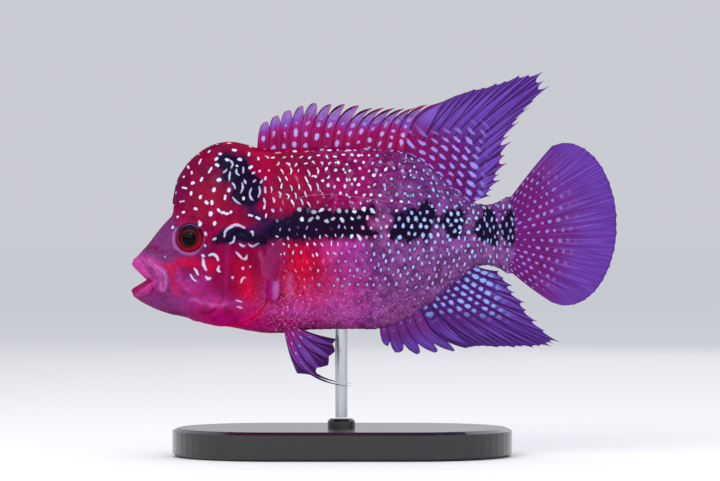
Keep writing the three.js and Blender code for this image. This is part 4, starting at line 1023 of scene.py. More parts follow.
def pearlsFor(spots, draw):
    # shape, place, strength and tone of each scale's pearl, by where the scale sits
    x, _, z = spots.T
    count = len(x)
    kinds = {
        "turn": draw.normal, "rx": draw.uniform, "rz": draw.uniform,
        "bend": draw.normal, "show": draw.uniform,
    }
    mark = {
        "turn": draw.normal(0, 0.3, count), "rx": draw.uniform(0.34, 0.5, count),
        "rz": draw.uniform(0.42, 0.64, count), "bend": np.zeros(count), "show": draw.uniform(0.85, 1, count),
        "shift": draw.normal(0, 0.3, (count, 2)), "pale": np.tile(pearlTones["white"], (count, 1)),
    }

    def region(mask, tone=None, **ranges):
        for key, pick in kinds.items():
            if key in ranges:
                mark[key] = np.where(mask, pick(*ranges[key], count), mark[key])
        if tone:
            mark["pale"] = np.where(mask[:, None], pearlTones[tone], mark["pale"])

    wave = x + 2.5 * ripple(x, 0 * x, z, 6, 31) + draw.normal(0, 1.8, count)
    upper, lower = z > 60.5, z < 54.2
    region(upper & (wave < 6), rx=(0.3, 0.45), rz=(0.36, 0.56))
    region(upper & (wave < -13) & (z < 73), turn=(-0.25, 0.2), rx=(0.17, 0.25), rz=(0.8, 1.25),
           bend=(1.0, 0.7))
    region((z > 74.3) & (wave < 2), turn=(0.1, 0.4), rx=(0.3, 0.95), rz=(0.26, 0.42), show=(0.3, 1))
    region((z > 72) & (z < 74.3) & (wave < -8), turn=(0, 1.4), rx=(0.22, 0.32), rz=(0.4, 0.8))
    region((z > 52) & (wave > -3) & (draw.random(count) < 0.5), tone="sky")
    region(upper & (wave > 4), tone="sky", show=(0.65, 1), rx=(0.3, 0.46), rz=(0.36, 0.56))
    region(upper & (wave > 17), rx=(0.3, 0.42), rz=(0.34, 0.5))
    region((z > 61.6) & (z < 64.6) & (x > -16) & (x < 2), show=(0.0, 0.9), rx=(0.2, 0.36), rz=(0.3, 0.5))
    # the band: bright along its edges, almost none inside its front part
    region(~upper & ~lower & (x < -3), show=(-0.4, 0.95), rx=(0.2, 0.36), rz=(0.28, 0.6), tone="lilac")
    region(~upper & ~lower & (x > -9) & (x < 1), show=(0.55, 1), rx=(0.2, 0.36), rz=(0.5, 0.85),
           tone="white", turn=(0, 0.2))
    region((z > 58.2) & (z <= 61.4) & (x > -21) & (x < 0), show=(0.3, 1.2), rx=(0.4, 0.85), rz=(0.34, 0.6),
           tone="white", turn=(0.2, 0.7))
    region((z > 52.4) & (z < 55.4) & (x > -24) & (x < 0), show=(0.6, 1), rx=(0.22, 0.4), rz=(0.5, 1.0),
           tone="white", turn=(0, 0.25))
    region(~upper & (z > 53.4) & (x > 3.5), show=(0.9, 1), rx=(0.36, 0.56), rz=(0.46, 0.72), tone="sky")
    region(~upper & ~lower & (wave > -3) & (wave < 4), tone="rose", rx=(0.34, 0.5), rz=(0.36, 0.6))
    # below the band
    region(lower & (wave < -11), turn=(-0.3, 0.3), rx=(0.11, 0.17), rz=(0.4, 0.7), show=(0.3, 0.9),
           tone="coral")
    region(lower & (wave < -11) & (z > 49), rx=(0.16, 0.24), rz=(0.4, 0.6), show=(0.7, 0.95), tone="white")
    region(lower & (wave >= -11) & (wave < 0), rx=(0.26, 0.38), rz=(0.36, 0.54), show=(0.5, 0.9),
           tone="lilac")
    region(lower & (wave >= 0), rx=(0.26, 0.4), rz=(0.42, 0.64), show=(0.6, 0.95), tone="violet",
           turn=(0, 0.15))
    region(lower & (wave >= 0) & (z > 42), show=(0.7, 1), tone="lilac")
    region(lower & (wave >= 0) & (z > 46 + draw.normal(0, 3, count)), tone="sky")
    region((z < 41) & (wave < 12), rx=(0.16, 0.26), rz=(0.26, 0.42), show=(0.1, 0.6), tone="rose")
    region((x > 24.5), rx=(0.24, 0.34), rz=(0.45, 0.7), turn=(0, 0.15), tone="sky", show=(0.6, 1))
    mark["pale"] = np.clip(mark["pale"] * draw.uniform(0.62, 1.0, (count, 1)), 0, 1)
    mark["show"] = np.clip(mark["show"], 0, 1) * np.where(draw.random(count) < 0.07, 0.15, 1)
    # some pearls come in pairs
    way = draw.uniform(0, 2 * math.pi, count)
    twin = (draw.random(count) < pearlPairs["share"]) & upper & (wave > -16)
    mark["pair"] = np.stack([np.cos(way) * pearlPairs["apart"], np.sin(way) * pearlPairs["apart"],
                             np.where(twin, pearlPairs["size"], pearlPairs["none"])], 1)
    return mark


scaleMaterial = fleshMaterial("wet scales", True)
for side, label in flanks:
    scales = makeScales(side, label)
    scales.data.materials.append(scaleMaterial)
    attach(scales, "root")
    print("scales", label)


# Eyes

# the rim tone and the rim radius are for a painted highlight, a pale arc along the top of the eye
eyeTones = {
    "pupil": colour("#040206"), "rim": colour("#8a90d8"), "iris": colour("#2a0410"),
    "glow": colour("#ae0426"), "dim": colour("#500216"), "thread": colour("#8c1020"),
}
eyeRings = {"pupil": 1.8, "thread": 1.98, "glow": 2.5, "rim": 3.3, "turns": 72}


def eyeMaterial(label):
    wet = Shader("eye " + label, 0.4, Coat_Weight=0.14, Coat_Roughness=0.02, Specular_IOR_Level=0.0)
    x, z, _ = wet.parts(wet.read("eyeAt", "Vector"))
    away = wet.length(x, z)
    # the pupil sits a little forward and low
    pupil = wet.length(x - 0.3, z + 0.25)
    streak = wet.noise(1.3, 4, 0.65, wet.join(wet.math("ARCTAN2", z, x) * 2.0, away * 0.6))
    glow = wet.mix(wet.ease(z, 2.2, -1.2), eyeTones["dim"], eyeTones["glow"])
    glow = wet.mix(wet.ease(streak, 0.4, 0.7, 0.45, 0), glow, eyeTones["dim"])
    iris = wet.mix(wet.ease(streak, 0.45, 0.75, 0, 0.35), eyeTones["iris"], eyeTones["dim"])
    iris = wet.mix(wet.ease(away, eyeRings["glow"], eyeRings["glow"] + 0.3), iris, glow)
    iris = wet.mix(wet.ease(abs(pupil - eyeRings["thread"]), 0.0, 0.13, 0.8, 0), iris, eyeTones["thread"])
    iris = wet.mix(wet.ease(z + away * 0.5 - 3.2, 0, 0.6, 0, 0.95), iris, tones["black"])
    iris = wet.mix(wet.ease(pupil, eyeRings["pupil"], eyeRings["pupil"] - 0.14), iris, eyeTones["pupil"])
    # a painted highlight: a pale arc along the eye's top edge stands in for the lamps' reflection
    arc = wet.ease(abs(away - eyeRings["rim"]), 0.02, 0.14, 0.75, 0)
    wet.paint(wet.mix(arc * wet.ease(z, 2.1, 2.7), iris, eyeTones["rim"]))
    return wet.material


def makeEye(side, label):
    # a low dome about the eye's own axis
    point, normal = flankAt(eye["x"], eye["z"], side)
    across = np.cross([0, 0, 1.0], normal)
    across /= np.linalg.norm(across)
    up = np.cross(normal, across)
    centre = point + normal * (eye["bulge"] - eye["depth"])
    radius = np.concatenate([np.linspace(0.001, 3.0, 30), np.linspace(3.06, 3.43, 10)])[:, None]
    turn = np.arange(eyeRings["turns"]) / eyeRings["turns"] * 2 * math.pi
    height = eye["depth"] * np.sqrt(np.clip(1 - (radius / (eye["radius"] + 0.02)) ** 2, 0, 1))
    x, z = radius * np.cos(turn), radius * np.sin(turn)
    points = centre + x[..., None] * across + z[..., None] * up + height[..., None] * normal
    faces = gridFaces(len(radius), len(turn), closed=True)
    ball = makeMesh("eye_ball_" + label, points.reshape(-1, 3), faces)
    setNumbers(ball, "eyeAt", np.stack([-side * x, z, 0 * x], -1).reshape(-1, 3))
    ball.data.materials.append(eyeMaterial(label))
    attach(ball, "root")
    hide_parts("eye_" + label)


for side, label in flanks:
    makeEye(side, label)
print("eyes")


# Lateral line: a fine raised thread

lateral = {"radius": 0.05, "lift": 0.1, "sides": 6, "tone": "#c05a9c"}


def makeThread(name, path):
    # a thin tube along a path of points, closed by two quads at each end
    sides, path = lateral["sides"], np.array(path)
    along = np.gradient(path, axis=0)
    along /= np.linalg.norm(along, axis=1, keepdims=True)
    across = np.cross(along, [0, 1.0, 0])
    across /= np.linalg.norm(across, axis=1, keepdims=True)
    out = np.cross(across, along)
    turn = (np.arange(sides) / sides * 2 * math.pi)[:, None]
    order = np.arange(len(path))
    taper = np.sqrt(np.clip(np.minimum(order, order[::-1]) / 3, 0.1, 1))
    ring = across[:, None] * np.cos(turn) + out[:, None] * np.sin(turn)
    points = path[:, None] + ring * (lateral["radius"] * taper)[:, None, None]
    cap = np.array([[0, 1, 2, 3], [0, 3, 4, 5]])
    tube = gridFaces(len(path), sides, closed=True)
    faces = np.concatenate([tube, cap[:, ::-1], cap + order[-1] * sides])
    return makeMesh(name, points.reshape(-1, 3), faces)


lineShader = Shader("lateral line", 0.4, Coat_Weight=0.2)
lineShader.paint(colour(lateral["tone"]))
linePath = smoothPath([[-19.5, 63.4], [-16, 64.3], [-10, 64.5], [-3, 63.7], [4, 62.7], [11, 62.2]], 12)
for side, label in flanks:
    spots = [flankAt(x, z, side) for x, z in linePath]
    raised = [point + normal * lateral["lift"] for point, normal in spots]
    thread = makeThread("lateral_line_" + label, raised)
    thread.data.materials.append(lineShader.material)
    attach(thread, "root")
print("lateral line")


# Fins

rootDepth = 1.3
dorsal = {
    "edge": "top", "spineBend": [0.08, 0, 0.93], "rayBend": [0.42, 0, 0.52],
    "spineTips": [[-27.5, 82.3], [-24.9, 83.9], [-21.9, 85.3], [-18.3, 86.5], [-15.1, 87.3], [-11, 87],
                  [-7.6, 87], [-4.1, 86.7], [-0.6, 86], [2.4, 86.1], [5, 86], [7.5, 85.9], [10, 86],
                  [13.2, 86.9], [16.1, 87.2]],
    "spineRoots": [-29, 7.6],
    "rayTips": [[20.2, 89.2], [24.7, 90.8], [30.3, 92.3], [36, 94.3], [41.7, 95.1], [43.4, 91.6],
                [38.7, 86.5], [36, 82.8], [34, 77.9], [32.8, 72.4], [31.4, 68.3], [28.9, 64.3]],
    "rayRoots": [9.2, 23.4],
}
anal = {
    "edge": "bottom", "spineBend": [0.12, 0, 0.75], "rayBend": [0.42, 0, 0.56],
    "spineTips": [[2.3, 27.7], [5.1, 25.6], [10.4, 25.1], [14.9, 25.5], [19.5, 25.8], [22.7, 26.6]],
    "spineRoots": [1.2, 11.4],
    "rayTips": [[26, 27.1], [30.4, 26.8], [34.8, 26.7], [39.3, 26.7], [43.8, 27], [45.9, 28.1],
                [40.3, 33.2], [37.3, 37.9], [34.4, 42], [30.9, 45.7]],
    "rayRoots": [12.9, 24.2],
}
caudal = {"rays": 18, "centre": [47.45, 57.3], "radii": [12.6, 20.2], "sweep": 106, "rootX": 33.2,
          "rootTop": 63.2, "rootBottom": 46.0, "droop": 1.6}
pelvic = {
    "root": [-22.4, 31.6], "side": 2.4, "rootStep": [0.62, -0.06], "splay": 22,
    "tips": [[-19.0, 20.6], [-5.8, 17.4], [-14.2, 19.8], [-11.4, 22.6], [-9.8, 26.0], [-9.6, 29.0]],
    "webs": [0.8, 0.6, 0.92, 0.93, 0.93, 0.93],
}
pectoral = {
    "root": [-23.9, 44.5], "rootTall": 2.56, "sunk": 0.9, "bow": 0.5, "rays": 10, "length": [9.5, 11.5, 7.5],
    "peak": 0.35, "upper": [0.14, 0.62, 0.78], "lower": [-0.42, 0.86, 0.2],
}


def outlineAt(x, edge):
    s = np.linspace(14, lastRing, 4000)
    ring = ringAt(s)
    column = 0 if edge == "top" else 2
    return np.interp(x, ring[:, column], ring[:, column + 1])


def medianRays(fin, part):
    # root, control and tip of each ray of a fin on the back or belly
    tips = np.array(fin[part + "Tips"], float)
    x = np.linspace(*fin[part + "Roots"], len(tips))
    plain = np.stack([x, 0 * x, outlineAt(x, fin["edge"])], 1)
    tip = np.stack([tips[:, 0], 0 * x, tips[:, 1]], 1)
    deep = [0, 0, -rootDepth if fin["edge"] == "top" else rootDepth]
    return np.stack([plain + deep, plain + (tip - plain) * fin[part + "Bend"], tip])


def joinedRays(spines, rays):
    # the soft part starts on the last spine
    return np.concatenate([spines[:, -1:] - np.array([0.12, 0, 0]), rays], 1)


def caudalRays():
    share = np.linspace(0, 1, caudal["rays"])
    angle = np.radians(caudal["sweep"] * (1 - 2 * share))
    root = np.stack([0 * share + caudal["rootX"], 0 * share,
                     caudal["rootTop"] + (caudal["rootBottom"] - caudal["rootTop"]) * share], 1)
    tip = np.stack([caudal["centre"][0] + caudal["radii"][0] * np.cos(angle), 0 * share,
                    caudal["centre"][1] + caudal["radii"][1] * np.sin(angle)], 1)
    control = (root + tip) / 2
    control[:, 2] -= (share - 0.5) * caudal["droop"]
    return np.stack([root, control, tip])


def pelvicRays(side):
    tilt = math.radians(pelvic["splay"])
    rootX, rootZ = pelvic["root"]

    def place(x, drop, out):
        return [x, side * (out + drop * math.sin(tilt)), rootZ - drop * math.cos(tilt)]

    rays = []
    for i, (tipX, tipZ) in enumerate(pelvic["tips"]):
        root = place(rootX + pelvic["rootStep"][0] * i, 0, pelvic["side"] + pelvic["rootStep"][1] * i)
        drop = (rootZ - tipZ) / math.cos(tilt)
        lean, fall = (0.1, 0.95) if i == 1 else (0.34, 0.62)
        control = place(root[0] + (tipX - root[0]) * lean, drop * fall, pelvic["side"])
        rays.append((root, control, place(tipX, drop, pelvic["side"])))
    return np.array(rays).transpose(1, 0, 2), np.array([0, side * math.cos(tilt), math.sin(tilt)])


def pectoralRays(side):
    point, _ = flankAt(*pectoral["root"], side)
    turn = np.array([1, side, 1])
    upper, lower = [np.array(pectoral[key]) * turn for key in ("upper", "lower")]
    upper, lower = upper / np.linalg.norm(upper), lower / np.linalg.norm(lower)
    share = np.linspace(0, 1, pectoral["rays"])[:, None]
    first, longest, final = pectoral["length"]
    peak = pectoral["peak"]
    rise = first + (longest - first) * np.sin(np.clip(share / peak, 0, 1) * math.pi / 2)
    fall = longest + (final - longest) * np.clip((share - peak) / (1 - peak), 0, 1) ** 1.6
    along = upper + (lower - upper) * share
    along /= np.linalg.norm(along, axis=1, keepdims=True)
    root = point + [0, -side * pectoral["sunk"], 0] + (0.5 - share) * [0, 0, pectoral["rootTall"]]
    tip = root + along * (np.where(share < peak, rise, fall) + pectoral["sunk"])
    control = (root + tip) / 2 + [0, side * pectoral["bow"], 0]
    normal = np.cross(upper, lower)
    return np.stack([root, control, tip]), normal / np.linalg.norm(normal)


def acrossRays(values, u):
    # smooth curve through the values of neighbouring rays
    last = len(values) - 1
    i = np.clip(np.floor(u).astype(int), 0, last - 1)
    t = (u - i)[:, None]
    a, b, c, d = [values[np.clip(i + k, 0, last)] for k in (-1, 0, 1, 2)]
    a = np.where((i == 0)[:, None], 2 * b - c, a)
    d = np.where((i == last - 1)[:, None], 2 * c - b, d)
    return spline(a, b, c, d, t)


def branching(u, v, spread):
    # how far, in ray spacings, a place is from the nearest branch of the nearest ray
    away = np.abs(u - np.round(u))
    away = np.abs(away - 0.25 * spread * step(0.28, 0.95, v))
    return np.abs(away - 0.125 * spread * step(0.6, 1.0, v))


plainFin = {"perRay": 16, "rows": 56, "membrane": 0.1, "ridge": 0.15, "lobed": False, "start": 0}
finShapes = {
    # root: how thick and how far up the flesh is; sway: mm and turn per ray; start: sway at the first ray
    "spiny": {"rows": 50, "lobed": True, "root": (0.9, 2.4), "sway": (0.35, 0.55)},
    "soft": {"root": (0.8, 2.6), "sway": (0.8, 0.5), "start": 0.35 * math.sin(14 * 0.55)},
    "analSpiny": {"perRay": 18, "rows": 44, "lobed": True, "root": (0.8, 2.4), "sway": (0.3, 0.6)},
    "anal": {"root": (0.8, 2.6), "sway": (-0.7, 0.5), "start": 0.3 * math.sin(5 * 0.6)},
    "caudal": {"perRay": 14, "rows": 60, "root": (1.15, 3.2), "sway": (0.7, 0.42)},
    "pelvic": {"rows": 44, "root": (0.5, 3), "sway": (0.5, 0.9)},
    "pectoral": {
        "perRay": 12, "rows": 40, "membrane": 0.11, "ridge": 0.06, "root": (0.2, 2), "sway": (0.45, 0.6),
    },
}


def sheetFaces(columns, rows):
    # both sides of a sheet and the rim between them
    index = np.arange(columns * rows).reshape(columns, rows)
    border = np.concatenate([index[:, 0], index[-1, 1:], index[-2::-1, -1], index[0, -2:0:-1]])
    after = np.roll(border, -1)
    face = gridFaces(columns, rows)
    rim = np.stack([border, after, after + index.size, border + index.size], -1)
    return np.concatenate([face, face[:, ::-1] + index.size, rim])


def makeFin(name, node, kind, rays, normal, reach, slot="fin_membrane"):
    shape = {**plainFin, **finShapes[kind]}
    perRay, rows, last = shape["perRay"], shape["rows"], rays.shape[1] - 1
    share = np.linspace(0, 0.985, perRay) if shape["lobed"] else np.arange(perRay) / perRay
    u = np.append((np.arange(last)[:, None] + share).ravel(), last)
    base, control, tip = [acrossRays(part, u)[:, None] for part in rays]
    edge = np.broadcast_to(np.linspace(0, 1, rows) ** 0.9, (len(u), rows))
    v = edge * reach(u)[:, None]
    u = np.broadcast_to(u[:, None], v.shape)
    far = v * np.linalg.norm(tip - base, axis=-1)
    if shape["lobed"]:
        # a spine stands at the front of each lobe
        ahead = u - np.floor(u)
        ridge = 0.3 * bell(np.minimum(ahead, 1.2 - ahead), 0.1) * (1 - 0.5 * v)
    else:
        ridge = shape["ridge"] * bell(branching(u, v, finLooks[kind]["spread"]), 0.085) * (1 - 0.45 * v)
    half = (shape["membrane"] + ridge) * (1 - 0.6 * edge ** 4) + 0.02
    # the fin thickens into the flesh it grows from
    half = half + shape["root"][0] * bell(np.maximum(far - rootDepth, 0), shape["root"][1])
    most, pace = shape["sway"]
    sway = v ** 2 * (most * np.sin(u * pace) + shape["start"])
    sway = sway + 0.05 * v * ripple(u * 2, v * 7, 0 * v, 1.2, 12)
    t = v[..., None]
    flat = (1 - t) ** 2 * base + 2 * t * (1 - t) * control + t ** 2 * tip
    points = np.stack([flat + (sway + way * half)[..., None] * normal for way in (1, -1)])
    piece = makeMesh(name, points.reshape(-1, 3), sheetFaces(*v.shape))
    at = np.stack([u, v, far], -1).reshape(-1, 3)
    setNumbers(piece, "finAt", np.tile(at, (2, 1)))
    setTint(piece, np.tile(finTint(flat.reshape(-1, 3), at, edge.ravel(), kind, last), (2, 1)))
    piece.data.materials.append(finMaterials[kind])
    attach(piece, "root")
    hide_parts(node)


def finMaterial(name, look):
    wet = Shader(name, 0.45, Coat_Weight=0.06, Coat_Roughness=0.15, Specular_IOR_Level=0.0)
    last = look["rays"] - 1
    body = wet.read("tint", "Color")
    u, v, far = wet.parts(wet.read("finAt", "Vector"))
    grain = wet.noise(1300, 2, 0.5)
    # thin streaks along the outer part
    streak = wet.noise(1.0, 3, 0.6, wet.join(u * 9.0, v * 1.1))
    streak = wet.ease(streak, 0.45, 0.62) * wet.ease(v, 0.3, 0.65, 0.1, look["streakShow"])
    body = wet.mix(streak, body, look["streakTone"])
    # rays and their branches
    close = abs(u - wet.math("ROUND", u))
    if look["spread"]:
        close = abs(close - wet.ease(v, 0.28, 0.95, 0, 0.25 * look["spread"]))
        close = abs(close - wet.ease(v, 0.6, 1.0, 0, 0.125 * look["spread"]))
    line = wet.ease(close, look["line"] * 0.4, look["line"] * 1.6, 1, 0)
    line = line * wet.ease(v, 0.0, 0.5, look["lineNear"], look["lineFar"])
    body = wet.mix(line, body, look["lineTone"])
    # pale spots in rows, set by ray gap or drifting from row to row
    gap = wet.math("FLOOR", u)
    row = far / look["pitch"] + wet.math("MODULO", gap, 2.0) * look["stagger"]
    if look["scatter"]:
        # rows start at a different height in each gap between rays
        row = row + wet.noise(1.0, 1, 0.5, wet.join(gap * 5.3, gap)) * look["scatter"]
    row = row + (wet.noise(190, 2, 0.5) - 0.5) * look["wobble"]
    rowNumber = wet.math("FLOOR", row)
    along = u / look["period"] + rowNumber * look["drift"]
    across = along - wet.math("FLOOR", along) - 0.5
    long = wet.ease(u, last * 0.5, last, look["spotLong"], look["spotLong"] * look["trail"])
    spot = wet.length(across / look["spotWide"], (row - rowNumber - 0.5) / long)
    spot = spot + (grain - 0.5) * 0.9 + (wet.noise(330, 1, 0.5) - 0.5) * look["uneven"]
    reach = v - wet.ease(u, 0, last, *look["spotEnd"])
    spot = wet.ease(spot, 0.6, 1.25, 1, 0) * wet.ease(reach, -0.25, 0.08, look["spotShow"], 0)
    body = wet.shade(wet.ease(spot, 0.0, 0.4, 0, look["spotHalo"]), body, 0.7)
    wet.paint(wet.mix(spot, body, look["spotTone"]))
    if look["clear"] < 1:
        clear = wet.mix(wet.ease(v, *look["clearFrom"]), np.ones(3), np.full(3, look["clear"]))
        wet.paint(wet.mix(line, clear, np.ones(3)), "Alpha")
    wet.bump(grain * 0.4 + line, look["bump"])
    return wet.material


def finTint(p, at, edge, kind, last):
    # base colour of a fin's membrane before rays and spots
    x, z = p[:, 0], p[:, 2]
    u, v, far = at.T
    wander = ripple(x, 0 * x, z, 7, 21)
    fine = ripple(x, 0 * x, z, 2.0, 22)
    rgb = np.tile(finTones["violet"], (len(x), 1))

    def layer(tone, mask):
        nonlocal rgb
        rgb = blend(rgb, tone, mask)

    if kind == "spiny":
        layer(finTones["veil"], 0.8 * step(0.35, 0.62, v) * step(20, -6, x + 3 * wander))
        layer(finTones["veil"], 0.3 * step(-0.2, 0.8, wander) * step(0.3, 0.6, v))
        layer(tones["magenta"], 0.8 * step(0.56, 0.26, v + 0.08 * fine + 0.08 * wander))
        layer(tones["crimson"], 0.85 * step(0.44, 0.18, v + 0.06 * fine))
        layer(finTones["edge"], 0.9 * step(0.9, 1, edge) + 0.6 * step(0.16, 0, u % 1) * step(0.7, 0.95, edge))
        layer(finTones["ray"], 0.5 * step(0.1, 0, u % 1) * step(0.9, 0.6, edge))
    elif kind == "soft":
        layer(finTones["plum"], 0.85 * step(0.6, 0.25, v + 0.06 * wander))
        layer(finTones["veil"], 0.4 * step(0.3, 0.6, v) * step(2.2, 0, u))
        layer(tones["crimson"], 0.85 * step(0.62, 0.15, v + 0.05 * fine) * step(24, 8, x))
        layer(finTones["wine"], 0.5 * step(0.45, 0.1, v))
        layer(finTones["edge"], 0.85 * step(0.975, 1, edge) * step(34, 20, x))
        layer(finTones["edge"], 0.5 * step(0.9, 1, edge) * step(0.55, 0.8, u / last))
    elif kind == "anal":
        layer(finTones["plum"], 0.75 * step(0.95, 0.3, v + 0.06 * wander))
        layer(finTones["night"], 0.6 * step(0.3, 0.85, v) * step(0.8, 0.4, u / last))
    elif kind == "analSpiny":
        layer(finTones["plum"], 0.8 * step(0.7, 0.2, v))
        layer(finTones["orchid"], 0.7 * step(0.7, 0.1, v))
        layer(finTones["night"], 0.4 * step(0.4, 0.95, v))
        layer(finTones["night"], 0.6 * step(0.12, 0, u % 1) + 0.3 * step(0.9, 1, edge))
    elif kind == "caudal":
        layer(finTones["wine"], 0.9 * step(25, 8, far + 2.5 * wander))
        layer(finTones["night"], 0.4 * step(0.95, 1, edge))
    elif kind == "pelvic":
        layer(finTones["orchid"], 0.6)
        layer(finTones["night"], 0.5 * step(0.3, 0.9, v))
        layer(tones["magenta"], 0.6 * step(0.4, 0.1, v))
    else:
        layer(finTones["pink"], 1)
        layer(tones["crimson"], 0.5 * step(0.4, 0, v))
    return np.clip(rgb * (1 + 0.1 * fine + 0.07 * wander)[:, None], 0, 1)


finTones = {
    "wine": colour("#6c0c58"), "violet": colour("#5a3494"), "night": colour("#35185e"),
    "plum": colour("#4e1260"), "orchid": colour("#7c3282"), "veil": colour("#8c5eb4"),
    "edge": colour("#b00a48"), "pink": colour("#b4246c"), "spot": colour("#9c8ee8"),
    "paleSpot": colour("#8cb0f4"), "frost": colour("#a8a8ec"), "ray": colour("#2c0a3a"),
    "redRay": colour("#7c0a44"), "purpleRay": colour("#5c2c86"), "streak": colour("#7d5cc4"),
    "roseStreak": colour("#b07ac4"),
}
plainLook = {
    "line": 0.075, "lineNear": 0.5, "lineFar": 0.75, "lineTone": finTones["ray"], "spread": 1, "stagger": 0.5,
    "drift": 0, "period": 1, "pitch": 2.2, "wobble": 1.1, "uneven": 1.0, "scatter": 0, "spotWide": 0.3,
    "spotLong": 0.32, "trail": 1.4, "spotHalo": 0.35, "spotShow": 0.95, "spotTone": finTones["spot"],
    "streakTone": finTones["streak"], "streakShow": 0.6, "clear": 1, "clearFrom": (0.4, 0.9), "bump": 0.1,
}


def finLook(rays, spotEnd, **changes):
    return {**plainLook, "rays": rays, "spotEnd": spotEnd, **changes}


finLooks = {
    "spiny": finLook(
        15, (0.5, 0.56), line=0.05, lineTone=finTones["redRay"], spread=0, uneven=2.0, wobble=1.8,
        scatter=2.5, pitch=2.0, spotWide=0.17, spotLong=0.24, trail=1, spotShow=0.85,
        spotTone=finTones["frost"], streakTone=finTones["roseStreak"], clear=0.72, clearFrom=(0.5, 0.62)),
    "soft": finLook(
        13, (0.42, 0.62), period=1.7, drift=0.37, stagger=0, pitch=1.9, spotWide=0.33, spotLong=0.22,
        lineNear=0.3, wobble=0.8),
    "anal": finLook(
        11, (0.3, 0.72), lineNear=0.8, spotWide=0.27, spotLong=0.3, trail=1.5, spotTone=finTones["paleSpot"]),
    "analSpiny": finLook(
        6, (0.3, 0.3), line=0.05, spread=0, spotShow=0.5, spotWide=0.12, spotLong=0.14, trail=1, lineFar=0.6,
        clear=0.9),
    "caudal": finLook(
        18, (0.62, 0.62), lineTone=finTones["purpleRay"], lineNear=0.8, lineFar=0.55, pitch=2.1,
        spotWide=0.19, spotLong=0.21, trail=1, wobble=1.2, uneven=1.6, spotShow=0.74),
    "pelvic": finLook(
        6, (0.5, 0.5), line=0.09, spread=0.8, pitch=3.0, spotWide=0.1, spotLong=0.12, trail=1,
        spotTone=finTones["paleSpot"], lineFar=0.9, clear=0.8, clearFrom=(0.3, 0.8)),
    "pectoral": finLook(
        10, (0.3, 0.3), line=0.05, lineTone=finTones["redRay"], lineNear=0.3, lineFar=0.35, spread=0.8,
        spotShow=0, streakTone=finTones["roseStreak"], streakShow=0.3, clear=0.7, clearFrom=(0.0, 0.4),
        bump=0.03),
}
finMaterials = {kind: finMaterial(kind + " fin", look) for kind, look in finLooks.items()}


def lobes(cleftFirst, cleftLast, count):
    # each spine carries a rounded lobe behind it, and a cleft in front of the next
    def reach(u):
        i = np.minimum(np.floor(u), count - 1)
        f = u - i
        cleft = cleftFirst + (cleftLast - cleftFirst) * i / (count - 1)
        return np.where(i == count - 1, 1, 1 - (1 - cleft) * f ** 1.5)
    return reach


def frayed(front, rear, count):
    # soft rays end in shallow notches, deeper towards the rear of the fin
    draw = np.random.default_rng(3)
    deep = draw.uniform(0.75, 1.25, count + 2)

    def reach(u):
        i = np.minimum(np.floor(u).astype(int), count)
        f = u - np.floor(u)
        depth = front + (rear - front) * np.clip(u / count, 0, 1) ** 1.5
        notch = 0.6 * np.abs(np.sin(2 * math.pi * f)) ** 0.6 + 0.4 * np.sin(math.pi * f)
        return 1 - depth * deep[i] * notch
    return reach


def webbed(u):
    # each web between the pelvic rays is cut back to its own depth
    web = np.array(pelvic["webs"])[np.minimum(u.astype(int), len(pelvic["webs"]) - 1)]
    return web + (1 - web) * np.interp(u % 1, [0, 0.5, 1], [1, 0, 1])


sideways = np.array([0, 1.0, 0])
dorsalSpines, analSpines = medianRays(dorsal, "spine"), medianRays(anal, "spine")
dorsalRays = joinedRays(dorsalSpines, medianRays(dorsal, "ray"))
analRays = joinedRays(analSpines, medianRays(anal, "ray"))
for name, node, kind, rays, reach in (
        ("dorsal_spines", "dorsal_fin_spiny", "spiny", dorsalSpines, lobes(0.5, 0.6, 15)),
        ("dorsal_rays", "dorsal_fin_soft", "soft", dorsalRays, frayed(0.012, 0.3, 12)),
        ("anal_spines", "anal_fin_spiny", "analSpiny", analSpines, lobes(0.5, 0.8, 6)),
        ("anal_rays", "anal_fin_soft", "anal", analRays, frayed(0.015, 0.2, 10)),
        ("tail_rays", "caudal_fin", "caudal", caudalRays(), frayed(0.01, 0.01, 17))):
    makeFin(name, node, kind, rays, sideways, reach)
for side, label in flanks:
    makeFin("pelvic_rays_" + label, "pelvic_fin_" + label, "pelvic", *pelvicRays(side), webbed)
    makeFin("pectoral_rays_" + label, "pectoral_fin_" + label, "pectoral", *pectoralRays(side),
            frayed(0.03, 0.04, 9), "fin_clear")
print("fins")


# Fleshy roots of the pectoral fins

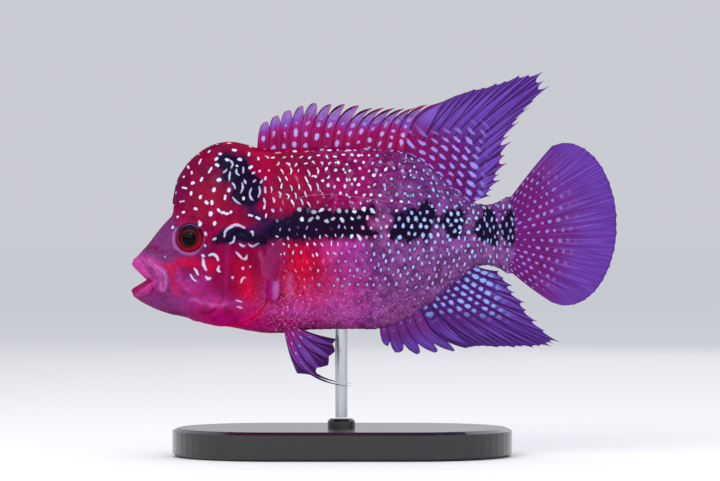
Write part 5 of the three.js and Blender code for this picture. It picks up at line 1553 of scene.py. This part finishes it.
pectoralBase = {"at": [-24.9, 41.8], "thick": 0.95, "wide": 1.9, "tall": 3.9, "rings": 40, "turns": 48}


def makePectoralBase(side, label):
    # an upright egg of flesh, gently fluted
    point, _ = flankAt(*pectoralBase["at"], side)
    rings, turns = pectoralBase["rings"], pectoralBase["turns"]
    down, turn = np.linspace(0.02, math.pi - 0.02, rings)[:, None], np.arange(turns) / turns * 2 * math.pi
    rear, out = np.sin(down) * np.cos(turn), np.sin(down) * np.sin(turn)
    height = np.broadcast_to(np.cos(down), rear.shape)
    flute = 1 + 0.12 * np.cos(turn * 3) * np.sin(down)
    egg = [pectoralBase["wide"] * rear, pectoralBase["thick"] * out * flute, pectoralBase["tall"] * height]
    points = (point + np.stack(egg, -1)).reshape(-1, 3)
    piece = makeMesh("pectoral_root_" + label, points, gridFaces(rings, turns, closed=True))
    middle = (np.sin(down) * (1 - np.cos(turn) ** 2)).ravel()
    rear, height = rear.ravel(), height.ravel()
    rgb = np.tile(tones["magenta"], (len(points), 1))
    # a painted highlight runs down its outward middle towards the rear; it is darker towards the front and
    # magenta at top and bottom
    rgb = blend(rgb, tones["paintedShine"], 0.8 * step(-0.3, 0.5, rear) * middle)
    rgb = blend(rgb, tones["plum"], 0.35 * step(0.3, -0.8, rear))
    rgb = blend(rgb, tones["magenta"], 0.6 * step(0.5, 1, np.abs(height)))
    setTint(piece, rgb)
    for key, value in (("dark", 20.0), ("pearl", 20.0), ("worm", 20.0), ("speckle", 0.0)):
        setNumbers(piece, key, np.full(len(rgb), value))
    piece.data.materials.append(skin.data.materials[0])
    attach(piece, "root")


for side, label in flanks:
    makePectoralBase(side, label)
print("pectoral roots")


# Stand: the solids' own base and rod, refinished

standLooks = {
    # node: name, tone, roughness and finish
    "stand_base": ("black acrylic", "#141417", 0.18, {"Coat_Weight": 0.3, "Coat_Roughness": 0.05}),
    "stand_rod": ("satin steel", "#c4c6ca", 0.3, {"Metallic": 1.0}),
}
for node, (name, tone, roughness, finish) in standLooks.items():
    shader = Shader(name, roughness, **finish)
    shader.paint(colour(tone))
    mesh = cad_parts[node].data
    mesh.materials.clear()
    mesh.materials.append(shader.material)
print("stand")
